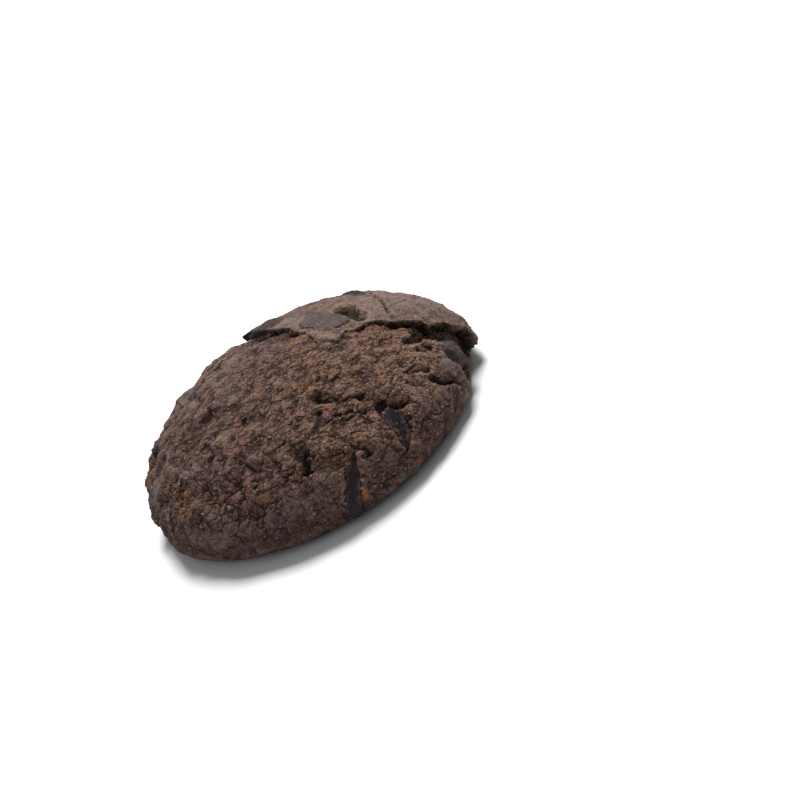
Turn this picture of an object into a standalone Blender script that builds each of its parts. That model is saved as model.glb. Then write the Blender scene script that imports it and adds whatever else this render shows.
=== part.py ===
"""Double chocolate cookie.

One baked round of dark dough stands on its flat foot. Its dome is crackled: a slab of crust
has lifted over one side and left a deep gap under its broken edge, and smaller cracks and pits
run over the rest. Chocolate chunks are bedded in the crust, each in a pocket of its own.

Places on the crust are given on a flat map of it, in millimetres from the crown: u runs to
the right and v away from the near side, both measured along the crust, and the rim is
CRUST_RADIUS away all round. Lengths are in millimetres until the meshes are finished.
"""

import math
from collections import namedtuple

import bmesh
import bpy
from mathutils import Matrix, Vector, noise
from mathutils.bvhtree import BVHTree

MM = 0.001

# The cookie as a whole
LENGTH = 75.6
WIDTH = 72.0
HEIGHT = 22.8
RIM_LEVEL = 4.2
CRUST_RADIUS = 46.0
MAP_STEP = 0.05
SAME = 1e-4
DOME_FULLNESS = 0.9
FOOT_INSET = 0.14
HEEL_TURN = math.radians(20)
RELIEF_ENDS = 0.8

# The dome's plan is a little off round: waves round the rim, share of the radius, heading
RIM_WAVES = ((2, 0.008, -71), (3, 0.010, 55), (5, 0.006, -8))

# Broad swellings of the dough and the lumps of its crackle: size, height. The lumps are lower by
# a share on the near side's rim, which begins and is full at shares of the way to the rim and at
# distances from the crown. Knobs are cells, high in the middle and low at their borders, and
# higher on the coarse side of the crust, which begins and is full at these places across the map
SWELLING = (17.0, 0.9)
SWELLING_SHIFT = Vector((3.1, 0.4, 1.7))
LUMPS = (5.2, 0.95)
LUMP_LAYERS = (0.9, 2.0, 2)
LUMP_MIDDLE = 0.1
NEAR_RIM = ((0.6, 0.95), (0.0, 14.0))
LUMPS_CALMED = 0.45
KNOBS = (2.6, 0.22)
KNOB_TOP = 0.55
KNOB_FALL = 1.6
KNOB_LEAST = 0.45
COARSE_SIDE = (-12.0, 18.0)
COARSE_SLANT = -0.3

# How far chunk and dough stay apart
FIT_GAP = 0.3

# Triangles: the crust is shaped fine, then thinned to this many before the pockets are cut
BALL_DIVISIONS = 6
FINER_ABOVE = -0.08
CRUST_FACES = 6500
UNFOLD_ROUNDS = 20
CHUNK_DIVISIONS = 3
CHIP_DIVISIONS = 2
UNFOLD_STEP = 0.5
SLIVER = 0.001
FOOT_LEVEL = 0.04

# The lifted slab's broken edge, from the far rim round its tip and along its front to the
# right-hand rim, with the height of the step there
EdgePoint = namedtuple("EdgePoint", "u v step")
SLAB_EDGE = (
    EdgePoint(3.0, 46.0, 0.5),
    EdgePoint(-1.5, 34.0, 1.3),
    EdgePoint(-1.6, 21.5, 3.2),
    EdgePoint(2.4, 10.0, 2.2),
    EdgePoint(5.2, 3.5, 1.2),
    EdgePoint(7.5, -3.2, 0.6),
    EdgePoint(10.5, -5.0, 0.5),
    EdgePoint(15.0, -3.6, 0.9),
    EdgePoint(20.0, -5.0, 1.4),
    EdgePoint(25.2, -7.2, 2.4),
    EdgePoint(28.0, -8.7, 3.2),
    EdgePoint(34.0, -8.2, 3.6),
    EdgePoint(40.0, -6.8, 4.0),
    EdgePoint(47.0, -6.0, 4.4),
)
SLAB_SHARE = 0.34
SLAB_REACH = 13.0
SLAB_OVERHANG = 0.5
HOLLOW_REACH = 3.4
BREAK_WIDTH = 0.7
LIP_REACH = 3.0
RECESS_REACH = 2.0
SLAB_EVENNESS = 0.55

# The broken edge wanders, in waves of two sizes: size, sway, where the wave is taken
EDGE_RAGGED = ((4.0, 0.9, 0.0), (1.7, 0.36, 7.0))

# Cracks: the points they run through, half their width, their depth. They wander by a sway, in
# waves of a size, and no cut is deeper than the deepest. Past the near side's edge, only a share
# of a cut goes on into the slab
CRACK_RAGGED = (3.1, 0.9)
WANDER_SHIFT = Vector((9.0, 4.0, 2.0))
CRACK_TAPER = 1.3
DEEPEST_CUT = 4.2
CUT_ON_SLAB = 0.25
CUT_RUNOUT = 2.0
NEAR_SIDE_ENDS = -2.0
Crack = namedtuple("Crack", "path half_width depth")
CRACKS = (
    Crack(((25.5, -10.6), (31.0, -12.0), (37.0, -11.6), (47.0, -9.8)), 3.0, 3.2),
    Crack(((21.6, -11.8), (25.2, -12.6)), 1.5, 1.6),
    Crack(((14.2, 5.0), (15.2, 1.8), (16.0, -0.4)), 1.5, 2.9),
    Crack(((21.8, 13.0), (21.8, 4.4), (22.0, 0.8), (21.6, -4.0)), 0.8, 0.7),
    Crack(((26.8, 3.0), (22.0, 0.8)), 0.7, 0.5),
    Crack(((6.4, -0.2), (7.4, -2.4), (8.8, -4.4)), 0.9, 0.9),
    Crack(((3.9, -15.3), (5.2, -17.5)), 1.5, 1.9),
    Crack(((5.2, -17.5), (7.8, -20.0), (10.0, -21.4)), 0.7, 0.6),
    Crack(((5.4, -21.8), (7.4, -23.0), (10.0, -24.8)), 0.7, 0.5),
    Crack(((3.0, -20.4), (0.4, -24.0)), 1.0, 0.6),
    Crack(((-1.8, -26.0), (-2.9, -28.0), (-3.8, -30.4)), 1.2, 1.9),
    Crack(((20.0, -20.2), (22.4, -20.9), (24.6, -21.9)), 1.3, 1.3),
    Crack(((24.2, -15.2), (27.6, -16.0)), 1.2, 1.1),
    Crack(((25.4, -23.8), (27.8, -24.8), (31.2, -25.5)), 1.3, 2.2),
    Crack(((31.4, -25.5), (34.0, -26.0), (39.0, -24.4)), 1.0, 1.0),
    Crack(((5.6, -30.6), (6.5, -33.0), (7.4, -35.4)), 1.0, 1.2),
    Crack(((14.8, -25.6), (17.8, -27.6)), 1.4, 1.3),
    Crack(((-15.2, -9.4), (-15.0, -11.4), (-15.3, -13.4)), 1.0, 0.8),
    Crack(((-12.4, 7.0), (-11.8, 3.0)), 1.0, 0.8),
    Crack(((-41.0, -3.0), (-34.0, -6.8), (-29.0, -9.0)), 1.8, 0.9),
    Crack(((-11.2, -21.0), (-10.8, -24.0)), 1.0, 0.5),
    Crack(((-27.0, 13.0), (-20.0, 12.0), (-15.0, 9.5), (-7.0, 9.0)), 2.0, 1.0),
    Crack(((-26.0, 29.0), (-18.0, 26.0), (-9.0, 28.5), (-4.0, 36.0)), 1.7, 2.4),
    Crack(((-18.0, 26.0), (-14.0, 19.0)), 1.4, 1.6),
    Crack(((14.0, 33.0), (21.0, 28.0), (28.0, 27.5), (34.0, 22.0)), 1.6, 2.2),
    Crack(((21.0, 28.0), (19.0, 19.0)), 1.3, 1.4),
)

# Openings with steep walls and a flat floor, where the crust has parted over a chunk: the points
# of each, with half the width and the depth there. The walls run between these shares of half
# the width
WALL_SHARES = (0.72, 1.15)
Opening = namedtuple("Opening", "u v half_width depth")
OPENINGS = (
    (
        Opening(5.4, -32.6, 0.5, 0.9),
        Opening(4.2, -36.0, 1.1, 1.4),
        Opening(2.3, -40.0, 1.4, 1.7),
        Opening(0.0, -46.0, 1.5, 1.7),
    ),
    (
        Opening(13.0, -25.4, 1.4, 0.7),
        Opening(15.2, -30.0, 2.1, 1.3),
        Opening(16.4, -34.8, 2.1, 1.6),
        Opening(15.8, -38.6, 0.7, 1.2),
    ),
)

# Dents, and swellings below zero: place, radius, depth
Dent = namedtuple("Dent", "u v radius depth")
DENTS = (
    Dent(44.0, -17.0, 7.5, 5.2),
    Dent(36.0, -16.5, 6.5, 2.6),
    Dent(41.0, -23.5, 6.0, 1.5),
    Dent(6.0, -22.5, 8.0, 0.9),
    Dent(14.0, -27.0, 6.0, 0.8),
    Dent(9.5, -34.0, 5.0, -0.5),
    Dent(-4.0, 13.0, 6.0, -0.9),
    Dent(-17.0, 13.0, 5.0, 0.5),
    Dent(-12.5, 17.0, 4.0, 1.5),
    Dent(-7.6, 20.0, 4.5, -0.7),
    Dent(-27.0, 19.0, 7.0, -0.8),
    Dent(-20.0, 8.5, 5.0, 0.7),
    Dent(-36.0, 6.0, 6.0, -0.7),
    Dent(-42.0, -8.0, 9.0, 1.0),
    Dent(-30.0, 34.0, 6.0, 1.0),
)

# Chunks: place of the middle, heading of the length, size, and how far the middle of the
# chunk stands over the smooth dome. Each is a block with round edges that swells a little
# (closeness and size of the swelling), with flats bitten into it at shares of its radius. The
# flats' directions are seeded noise
Chunk = namedtuple("Chunk", "name u v heading length width thickness rise fine")
CHUNKS = (
    Chunk("chunk_crown", 10.0, 2.8, 117, 14.0, 7.2, 4.6, -1.55, True),
    Chunk("chunk_tip", 2.0, 14.8, 104, 14.0, 6.4, 4.4, -0.9, True),
    Chunk("chunk_gap", 34.0, -14.7, -8, 8.4, 5.6, 4.8, -2.5, True),
    Chunk("chunk_pale", 31.2, -21.6, 15, 5.6, 4.6, 4.0, -1.4, True),
    Chunk("chunk_long", 2.5, -38.8, 68, 14.6, 6.0, 5.0, -3.2, True),
    Chunk("chunk_near", 16.2, -34.0, -76, 10.8, 5.6, 4.4, -3.0, True),
    Chunk("chunk_ridge", 18.6, 14.2, 113, 8.4, 4.4, 3.6, -1.05, True),
    Chunk("chunk_left", -25.0, 7.5, 50, 6.4, 4.6, 4.4, -1.4, True),
    Chunk("chip_left", -21.6, -10.4, 40, 2.8, 2.2, 2.6, -1.0, False),
    Chunk("chip_low", -19.9, -26.7, 60, 3.2, 2.2, 2.8, -1.4, False),
    Chunk("chunk_back", -9.5, 31.0, 15, 8.0, 5.4, 4.8, -1.8, True),
    Chunk("chunk_far", 25.0, 31.5, -35, 7.0, 5.0, 4.6, -1.7, True),
)
CHUNK_DEPTH = 3.0
BLOCKINESS = 2.8
CHUNK_SWELL = (1.7, 0.16)
FACETS = 5
FACET_SEED = 372
FACET_STEP = 2.3
FACET_BITE = (0.76, 0.98)
FACET_FLATNESS = 0.85

# Looks of the two materials: colour and roughness
DOUGH = ((0.075, 0.045, 0.036), 0.85)
CHOCOLATE = ((0.045, 0.032, 0.030), 0.45)


def crust_place(direction):
    """Crust-map place and turn from the crown for a direction from the middle of a ball."""
    turn = math.acos(max(-1.0, min(1.0, direction.z)))
    heading = math.atan2(direction.y, direction.x)
    reach = turn / (math.pi / 2) * CRUST_RADIUS
    return reach * math.cos(heading), reach * math.sin(heading), turn


def plan_radius(heading):
    """Share by which the plan is wider or narrower than an ellipse, at a heading."""
    share = 1.0
    for waves, swing, start in RIM_WAVES:
        share += swing * math.cos(waves * (heading - math.radians(start)))
    return share


def smooth_point(u, v):
    """Point of the smooth cookie, without its crust, for a place on the crust map."""
    turn = math.hypot(u, v) / CRUST_RADIUS * (math.pi / 2)
    heading = math.atan2(v, u)
    past_rim = turn - math.pi / 2
    if past_rim <= 0:
        spread = math.sin(turn) ** DOME_FULLNESS
        level = RIM_LEVEL + (HEIGHT - RIM_LEVEL) * math.cos(turn)
    elif past_rim <= HEEL_TURN:
        bend = past_rim / HEEL_TURN * (math.pi / 2)
        spread = 1 - FOOT_INSET * (1 - math.cos(bend))
        level = RIM_LEVEL * (1 - math.sin(bend))
    else:
        spread = (1 - FOOT_INSET) * (math.pi - turn) / (math.pi / 2 - HEEL_TURN)
        level = 0.0
    spread *= plan_radius(heading)
    return Vector((LENGTH / 2 * spread * math.cos(heading), WIDTH / 2 * spread * math.sin(heading), level))


def outward(point):
    """Direction straight out of the smooth cookie's crust."""
    steepness = max(point.z - RIM_LEVEL, 0.0) / (HEIGHT - RIM_LEVEL) ** 2
    return Vector((point.x / (LENGTH / 2) ** 2, point.y / (WIDTH / 2) ** 2, steepness)).normalized()


def along_crust(u, v, du, dv):
    """Unit direction on the crust that a small step on the map makes."""
    ahead = smooth_point(u + du * MAP_STEP, v + dv * MAP_STEP)
    behind = smooth_point(u - du * MAP_STEP, v - dv * MAP_STEP)
    return (ahead - behind).normalized()


def smoothstep(low, high, value):
    """0 below low, 1 above high, and an even turn between."""
    share = max(0.0, min(1.0, (value - low) / (high - low)))
    return share * share * (3 - 2 * share)


def segment_distance(place, start, end):
    """Distance to a segment, the share along it of the nearest point, and the side."""
    run = end - start
    share = max(0.0, min(1.0, (place - start).dot(run) / run.length_squared))
    offset = place - (start + run * share)
    side = (run.x * offset.y - run.y * offset.x) / run.length
    return offset.length, share, side


def slab_position(u, v):
    """Distance onto the slab (below zero off it), the step there, and the way off the slab."""
    ragged = sum(sway * noise.noise(Vector((u, v, start)) / size) for size, sway, start in EDGE_RAGGED)
    place = Vector((u, v))
    nearest = None
    for start, end in zip(SLAB_EDGE, SLAB_EDGE[1:]):
        head = Vector((start.u, start.v))
        tail = Vector((end.u, end.v))
        distance, share, side = segment_distance(place, head, tail)
        tie = nearest is not None and abs(distance - nearest[0]) < SAME
        if nearest is None or distance < nearest[0] - SAME or (tie and abs(side) > abs(nearest[1])):
            run = (tail - head).normalized()
            step = start.step + (end.step - start.step) * share
            nearest = (distance, side, step, Vector((run.y, -run.x)))
    distance, side, step, off_slab = nearest
    signed = distance if side > 0 else -distance
    return signed + ragged, step, off_slab


def crack_depth(place, crack):
    """How deep a crack is at a place: full depth on its line, tapering to its ends."""
    points = [Vector(point) for point in crack.path]
    nearest = min(segment_distance(place, a, b)[0] for a, b in zip(points, points[1:]))
    if nearest >= crack.half_width:
        return 0.0
    share = nearest / crack.half_width
    return crack.depth * (1 - share) ** CRACK_TAPER


def opening_depth(place, path):
    """How deep an opening is at a place: full depth over its floor, with steep walls."""
    depth = 0.0
    for start, end in zip(path, path[1:]):
        distance, share, _ = segment_distance(place, Vector(start[:2]), Vector(end[:2]))
        half_width = start.half_width + (end.half_width - start.half_width) * share
        floor_depth = start.depth + (end.depth - start.depth) * share
        depth = max(depth, floor_depth * (1 - smoothstep(*WALL_SHARES, distance / half_width)))
    return depth


def dent_depth(place, dent):
    """How deep a dent is at a place."""
    share = (place - Vector((dent.u, dent.v))).length / dent.radius
    return dent.depth * (1 - share * share) ** 2 if share < 1 else 0.0


def near_rim(u, v):
    """1 on the rim of the near side, 0 over the crown and on the far side."""
    reach = math.hypot(u, v) / CRUST_RADIUS
    return smoothstep(*NEAR_RIM[0], reach) * smoothstep(*NEAR_RIM[1], -v)


def dough_height(u, v, point):
    """Height of the risen dough over the smooth cookie: swellings, lumps and knobs."""
    size, height = SWELLING
    lift = height * noise.noise(point / size + SWELLING_SHIFT)
    size, height = LUMPS
    calm = 1 - LUMPS_CALMED * near_rim(u, v)
    lift += height * calm * (noise.fractal(point / size, *LUMP_LAYERS) - LUMP_MIDDLE)
    size, height = KNOBS
    coarse = smoothstep(*COARSE_SIDE, u + COARSE_SLANT * v)
    from_middle = noise.voronoi(point / size)[0][0]
    return lift + height * (KNOB_LEAST + coarse) * (KNOB_TOP - KNOB_FALL * from_middle)


def crust_relief(u, v, point):
    """Height of the crust over the smooth cookie, and how far it slides along it."""
    on_slab, step, off_slab = slab_position(u, v)
    onto, beyond = max(on_slab, 0.0), max(-on_slab, 0.0)
    over = smoothstep(-BREAK_WIDTH, BREAK_WIDTH, on_slab)
    lift = dough_height(u, v, point) * (1 - SLAB_EVENNESS * over)
    lift += over * SLAB_SHARE * step * math.exp(-onto / SLAB_REACH)
    lift -= (1 - over) * (1 - SLAB_SHARE) * step * math.exp(-beyond / HOLLOW_REACH)
    lip = over * math.exp(-onto / LIP_REACH) - (1 - over) * math.exp(-beyond / RECESS_REACH)
    slide = SLAB_OVERHANG * step * lip * along_crust(u, v, off_slab.x, off_slab.y)

    size, sway = CRACK_RAGGED
    wander = Vector((noise.noise(point / size), noise.noise(point / size + WANDER_SHIFT)))
    place = Vector((u, v)) + sway * wander
    cut = sum(crack_depth(place, crack) for crack in CRACKS)
    cut += sum(opening_depth(place, path) for path in OPENINGS)
    stopped = over * smoothstep(0.0, CUT_RUNOUT, on_slab) if v < NEAR_SIDE_ENDS else 0.0
    lift -= min(cut, DEEPEST_CUT) * (1 - (1 - CUT_ON_SLAB) * stopped)
    lift -= sum(dent_depth(place, dent) for dent in DENTS)
    return lift, slide


def crust_point(u, v, turn):
    """Point of the finished crust. The relief dies away round the heel, and the foot is flat."""
    point = smooth_point(u, v)
    fade = 1 - smoothstep(math.pi / 2, math.pi / 2 + RELIEF_ENDS * HEEL_TURN, turn)
    if fade == 0:
        return point
    lift, slide = crust_relief(u, v, point)
    point += fade * (lift * outward(point) + slide)
    point.z = max(point.z, 0.0)
    return point


def object_from(bm, name, material=None):
    """Turn a bmesh in millimetres into a named object in metres."""
    bmesh.ops.scale(bm, vec=(MM, MM, MM), verts=bm.verts)
    mesh = bpy.data.meshes.new(name)
    bm.to_mesh(mesh)
    bm.free()
    thing = bpy.data.objects.new(name, mesh)
    bpy.context.scene.collection.objects.link(thing)
    if material is not None:
        mesh.materials.append(material)
    return thing


def painted(name, colour, roughness):
    """A plain material in the colour the piece has."""
    material = bpy.data.materials.new(name)
    material.use_nodes = True
    shader = material.node_tree.nodes["Principled BSDF"]
    shader.inputs["Base Color"].default_value = (*colour, 1)
    shader.inputs["Roughness"].default_value = roughness
    shader.inputs["Metallic"].default_value = 0.0
    return material


def evaluated_bmesh(thing):
    """A bmesh of an object with its modifiers applied."""
    depsgraph = bpy.context.evaluated_depsgraph_get()
    mesh = bpy.data.meshes.new_from_object(thing.evaluated_get(depsgraph))
    bm = bmesh.new()
    bm.from_mesh(mesh)
    bpy.data.meshes.remove(mesh)
    return bm


def crossing_faces(bm):
    """Triangles that cut through others they don't share a corner with."""
    bm.faces.ensure_lookup_table()
    tree = BVHTree.FromBMesh(bm)
    crossing = set()
    for first, second in tree.overlap(tree):
        one, other = bm.faces[first], bm.faces[second]
        if not set(one.verts) & set(other.verts):
            crossing.update((one, other))
    return crossing


def unfold(bm):
    """Ease apart the few triangles that thinning folds through each other in a narrow crack."""
    for _ in range(UNFOLD_ROUNDS):
        corners = {vert for face in crossing_faces(bm) for vert in face.verts}
        if not corners:
            return
        bmesh.ops.smooth_vert(
            bm, verts=list(corners), factor=UNFOLD_STEP, use_axis_x=True, use_axis_y=True, use_axis_z=True
        )


def make_crust():
    """The dough as one ball, shaped fine by its crust and then thinned."""
    bm = bmesh.new()
    bmesh.ops.create_icosphere(bm, subdivisions=BALL_DIVISIONS, radius=1)
    top = [edge for edge in bm.edges if min(vert.co.z for vert in edge.verts) > FINER_ABOVE]
    bmesh.ops.subdivide_edges(bm, edges=top, cuts=1, use_grid_fill=True)
    for vert in bm.verts:
        vert.co = crust_point(*crust_place(vert.co.normalized()))
    bmesh.ops.triangulate(bm, faces=bm.faces)
    faces = len(bm.faces)
    crust = object_from(bm, "crust_fine")
    thin = crust.modifiers.new("thin", "DECIMATE")
    thin.ratio = CRUST_FACES / faces
    bm = evaluated_bmesh(crust)
    bpy.data.objects.remove(crust)
    bmesh.ops.scale(bm, vec=(1 / MM, 1 / MM, 1 / MM), verts=bm.verts)
    unfold(bm)
    return bm


def level_foot(bm):
    """Press the foot into one true flat face, and centre the cookie over the origin."""
    for vert in bm.verts:
        if vert.co.z < FOOT_LEVEL:
            vert.co.z = 0.0
    foot = [face for face in bm.faces if all(vert.co.z == 0.0 for vert in face.verts)]
    bmesh.ops.dissolve_faces(bm, faces=foot, use_verts=True)
    low = [min(vert.co[axis] for vert in bm.verts) for axis in range(2)]
    high = [max(vert.co[axis] for vert in bm.verts) for axis in range(2)]
    middle = Vector(((low[0] + high[0]) / 2, (low[1] + high[1]) / 2, 0))
    bmesh.ops.translate(bm, vec=-middle, verts=bm.verts)
    return middle


def chunk_frame(chunk, middle):
    """Matrix that lays a chunk along its heading in the crust."""
    heading = math.radians(chunk.heading)
    base = smooth_point(chunk.u, chunk.v)
    up = outward(base)
    along = along_crust(chunk.u, chunk.v, math.cos(heading), math.sin(heading))
    across = up.cross(along).normalized()
    along = across.cross(up)
    turn = Matrix((along, across, up)).transposed().to_4x4()
    return Matrix.Translation(base + up * chunk.rise - middle) @ turn


def chunk_bmesh(chunk, middle, grow):
    """A broken lump of chocolate: a block with round edges and flats bitten into it."""
    bm = bmesh.new()
    divisions = CHUNK_DIVISIONS if chunk.fine else CHIP_DIVISIONS
    bmesh.ops.create_icosphere(bm, subdivisions=divisions, radius=1)
    start = Vector((chunk.u, chunk.v, CHUNK_DEPTH))
    flats = []
    for index in range(FACETS):
        way = noise.noise_vector(start + Vector((index * FACET_STEP, 0, 0))).normalized()
        bite = FACET_BITE[0] + (FACET_BITE[1] - FACET_BITE[0]) * (index / (FACETS - 1))
        flats.append((way, bite))
    half = Vector((chunk.length / 2, chunk.width / 2, chunk.thickness / 2))
    closeness, swell = CHUNK_SWELL
    for vert in bm.verts:
        ball = vert.co / sum(abs(side) ** BLOCKINESS for side in vert.co) ** (1 / BLOCKINESS)
        ball *= 1 + swell * noise.noise(ball * closeness + start)
        for way, bite in flats:
            over = ball.dot(way) - bite
            if over > 0:
                ball -= way * over * FACET_FLATNESS
        vert.co = Vector((ball.x * half.x, ball.y * half.y, ball.z * half.z))
    bm.normal_update()
    if grow:
        moved = [vert.co + vert.normal * grow for vert in bm.verts]
        for vert, place in zip(bm.verts, moved):
            vert.co = place
    bmesh.ops.transform(bm, matrix=chunk_frame(chunk, middle), verts=bm.verts)
    return bm


def largest_piece(bm):
    """Drop any loose scrap that a cut has left, and keep the body."""
    waiting = set(bm.verts)
    pieces = []
    while waiting:
        piece = set()
        edge_of_search = [waiting.pop()]
        while edge_of_search:
            vert = edge_of_search.pop()
            piece.add(vert)
            for edge in vert.link_edges:
                other = edge.other_vert(vert)
                if other in waiting:
                    waiting.remove(other)
                    edge_of_search.append(other)
        pieces.append(piece)
    body = max(pieces, key=len)
    scraps = [vert for piece in pieces if piece is not body for vert in piece]
    bmesh.ops.delete(bm, geom=scraps, context="VERTS")


def cut_pockets(crust, cutters):
    """Cut the chunks' pockets out of the dough in one Boolean."""
    pockets = bpy.data.collections.new("pockets")
    bpy.context.scene.collection.children.link(pockets)
    for cutter in cutters:
        bpy.context.scene.collection.objects.unlink(cutter)
        pockets.objects.link(cutter)
    cut = crust.modifiers.new("pockets", "BOOLEAN")
    cut.operation = "DIFFERENCE"
    cut.solver = "EXACT"
    cut.operand_type = "COLLECTION"
    cut.collection = pockets
    bm = evaluated_bmesh(crust)
    crust.modifiers.remove(cut)
    for cutter in cutters:
        bpy.data.objects.remove(cutter)
    bpy.data.collections.remove(pockets)
    largest_piece(bm)
    bmesh.ops.dissolve_degenerate(bm, dist=SLIVER * MM, edges=bm.edges)
    bm.to_mesh(crust.data)
    bm.free()


def main():
    for thing in list(bpy.data.objects):
        bpy.data.objects.remove(thing)
    noise.seed_set(FACET_SEED)
    dough = painted("dough", *DOUGH)
    chocolate = painted("chocolate", *CHOCOLATE)

    bm = make_crust()
    middle = level_foot(bm)
    cookie = object_from(bm, "cookie", dough)
    cutters = []
    for chunk in CHUNKS:
        cutter = object_from(chunk_bmesh(chunk, middle, FIT_GAP), chunk.name + "_pocket")
        cutter.hide_render = True
        cutter.display_type = "WIRE"
        cutters.append(cutter)
    cut_pockets(cookie, cutters)
    for chunk in CHUNKS:
        piece = object_from(chunk_bmesh(chunk, middle, 0), chunk.name, chocolate)
        piece.data.shade_smooth()
    print("cookie", len(cookie.data.polygons), "faces")


main()
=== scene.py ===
# %% [markdown]
# # Dressing a double chocolate cookie
# The frame holds a plain solid of the cookie: one round of dark dough and the chocolate chunks
# bedded in its crust. Its triangles are about a millimetre wide, so they carry the dome, the
# lifted slab of crust and the cracks, but not the crumb. This lesson makes each piece again
# with the fine surface that the real one has, and gives it its finish.

import math
import random
from collections import namedtuple

import bmesh
import bpy
import numpy as np
from mathutils import Matrix, Vector, noise
from mathutils.bvhtree import BVHTree


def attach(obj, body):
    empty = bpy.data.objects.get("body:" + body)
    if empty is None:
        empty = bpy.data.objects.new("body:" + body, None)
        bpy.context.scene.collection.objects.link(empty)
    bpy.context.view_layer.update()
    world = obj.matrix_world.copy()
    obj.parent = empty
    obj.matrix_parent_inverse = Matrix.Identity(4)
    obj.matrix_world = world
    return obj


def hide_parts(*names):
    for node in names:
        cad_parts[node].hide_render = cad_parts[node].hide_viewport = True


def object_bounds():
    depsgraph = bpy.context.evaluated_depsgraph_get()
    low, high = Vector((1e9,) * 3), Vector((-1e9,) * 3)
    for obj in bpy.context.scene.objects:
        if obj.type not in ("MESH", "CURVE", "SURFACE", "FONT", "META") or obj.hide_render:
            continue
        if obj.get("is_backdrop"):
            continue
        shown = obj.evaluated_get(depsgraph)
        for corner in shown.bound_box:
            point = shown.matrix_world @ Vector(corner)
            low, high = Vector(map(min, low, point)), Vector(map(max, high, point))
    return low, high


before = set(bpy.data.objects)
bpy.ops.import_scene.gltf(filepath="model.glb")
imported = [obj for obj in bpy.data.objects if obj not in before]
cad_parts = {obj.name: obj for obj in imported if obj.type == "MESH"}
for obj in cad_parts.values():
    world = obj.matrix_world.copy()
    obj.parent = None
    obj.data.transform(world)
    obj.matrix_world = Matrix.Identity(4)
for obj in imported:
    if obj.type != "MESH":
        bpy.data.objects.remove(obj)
cad_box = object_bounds()
MM = 0.001
print("nodes in the frame:", sorted(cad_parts))

# %% [markdown]
# ## The camera
# The picture looks down on the cookie at 28 degrees, through a long lens, and the cookie leans,
# so the picture is rolled. The camera is moved sideways, not shifted, until the cookie's middle
# falls where it does in the picture.

# %% Camera
LENS = 80.0
SENSOR = 36.0
PICTURE = 800
ELEVATION = math.radians(28.0)
ROLL = math.radians(32.9)
DISTANCE = 0.3635
AIM = Vector((-0.00018, 0.00004, 0.010))
AIM_PIXEL = (297.9, 407.15)

back = Vector((0, -math.cos(ELEVATION), math.sin(ELEVATION)))
level_right = Vector((1, 0, 0))
level_up = back.cross(level_right)
right = level_right * math.cos(ROLL) - level_up * math.sin(ROLL)
up = level_right * math.sin(ROLL) + level_up * math.cos(ROLL)
metres_per_pixel = DISTANCE / (LENS / SENSOR * PICTURE)
sideways = right * (PICTURE / 2 - AIM_PIXEL[0]) + up * (AIM_PIXEL[1] - PICTURE / 2)

lens = bpy.data.cameras.new("camera")
lens.lens = LENS
lens.sensor_width = SENSOR
lens.clip_start = 0.01
lens.clip_end = 10
camera = bpy.data.objects.new("camera", lens)
turned = Matrix((right, up, back)).transposed().to_4x4()
camera.matrix_world = Matrix.Translation(AIM + back * DISTANCE + sideways * metres_per_pixel) @ turned
bpy.context.scene.collection.objects.link(camera)
bpy.context.scene.camera = camera
print("camera at", [round(x, 3) for x in camera.matrix_world.translation])

# %% [markdown]
# ## Floor and light
# A white sweep, brightly lit, so that it prints as pure white with one soft shadow under the
# cookie. The main light is a wide one above and a little behind, which is why the far side of
# the crust is paler than the near rim. The sky fills the rest with a faint blue.

# %% Floor, sky and lamps
FLOOR_SIZE = 3.0
FLOOR_WHITE = (0.86, 0.87, 0.88, 1)
SKY = (0.93, 0.97, 1.0, 1)
SKY_STRENGTH = 0.27
Lamp = namedtuple("Lamp", "name place size watts")
LAMPS = (Lamp("main", (0.22, 0.40, 0.80), 0.42, 13.2), Lamp("fill", (-0.50, -0.30, 0.60), 0.60, 0.4))

bm = bmesh.new()
bmesh.ops.create_grid(bm, x_segments=1, y_segments=1, size=FLOOR_SIZE / 2)
floor_mesh = bpy.data.meshes.new("floor")
bm.to_mesh(floor_mesh)
bm.free()
floor = bpy.data.objects.new("floor", floor_mesh)
bpy.context.scene.collection.objects.link(floor)
sweep = bpy.data.materials.new("sweep")
sweep.use_nodes = True
sweep.node_tree.nodes["Principled BSDF"].inputs["Base Color"].default_value = FLOOR_WHITE
sweep.node_tree.nodes["Principled BSDF"].inputs["Roughness"].default_value = 0.8
floor_mesh.materials.append(sweep)
floor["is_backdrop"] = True

world = bpy.data.worlds.new("sky")
world.use_nodes = True
world.node_tree.nodes["Background"].inputs["Color"].default_value = SKY
world.node_tree.nodes["Background"].inputs["Strength"].default_value = SKY_STRENGTH
bpy.context.scene.world = world
bpy.context.scene.view_settings.view_transform = "Standard"

for lamp in LAMPS:
    light = bpy.data.lights.new(lamp.name, "AREA")
    light.size = lamp.size
    light.energy = lamp.watts
    holder = bpy.data.objects.new(lamp.name, light)
    holder.location = lamp.place
    holder.rotation_euler = (-Vector(lamp.place)).to_track_quat("-Z", "Y").to_euler()
    bpy.context.scene.collection.objects.link(holder)
print(len(LAMPS), "lamps over a floor", FLOOR_SIZE, "m wide")

# %% [markdown]
# ## The smooth cookie
# A drop cookie spreads into a low dome with a rounded heel and a flat foot. Places on its crust
# are given on a flat map, in millimetres from the crown: u to the right, v away. The form is the
# solid's own, so each piece made here lies where the frame has it.

# %% The smooth form
LENGTH, WIDTH, HEIGHT = 75.6, 72.0, 22.8
RIM_LEVEL = 4.2
CRUST_RADIUS = 46.0
DOME_FULLNESS = 0.9
FOOT_INSET = 0.14
HEEL_TURN = math.radians(20)
RIM_WAVES = ((2, 0.008, -71), (3, 0.010, 55), (5, 0.006, -8))
MIDDLE = np.array((0.132, 0.052, 0.0))
QUARTER = math.pi / 2
MAP_STEP = 0.05


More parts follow.
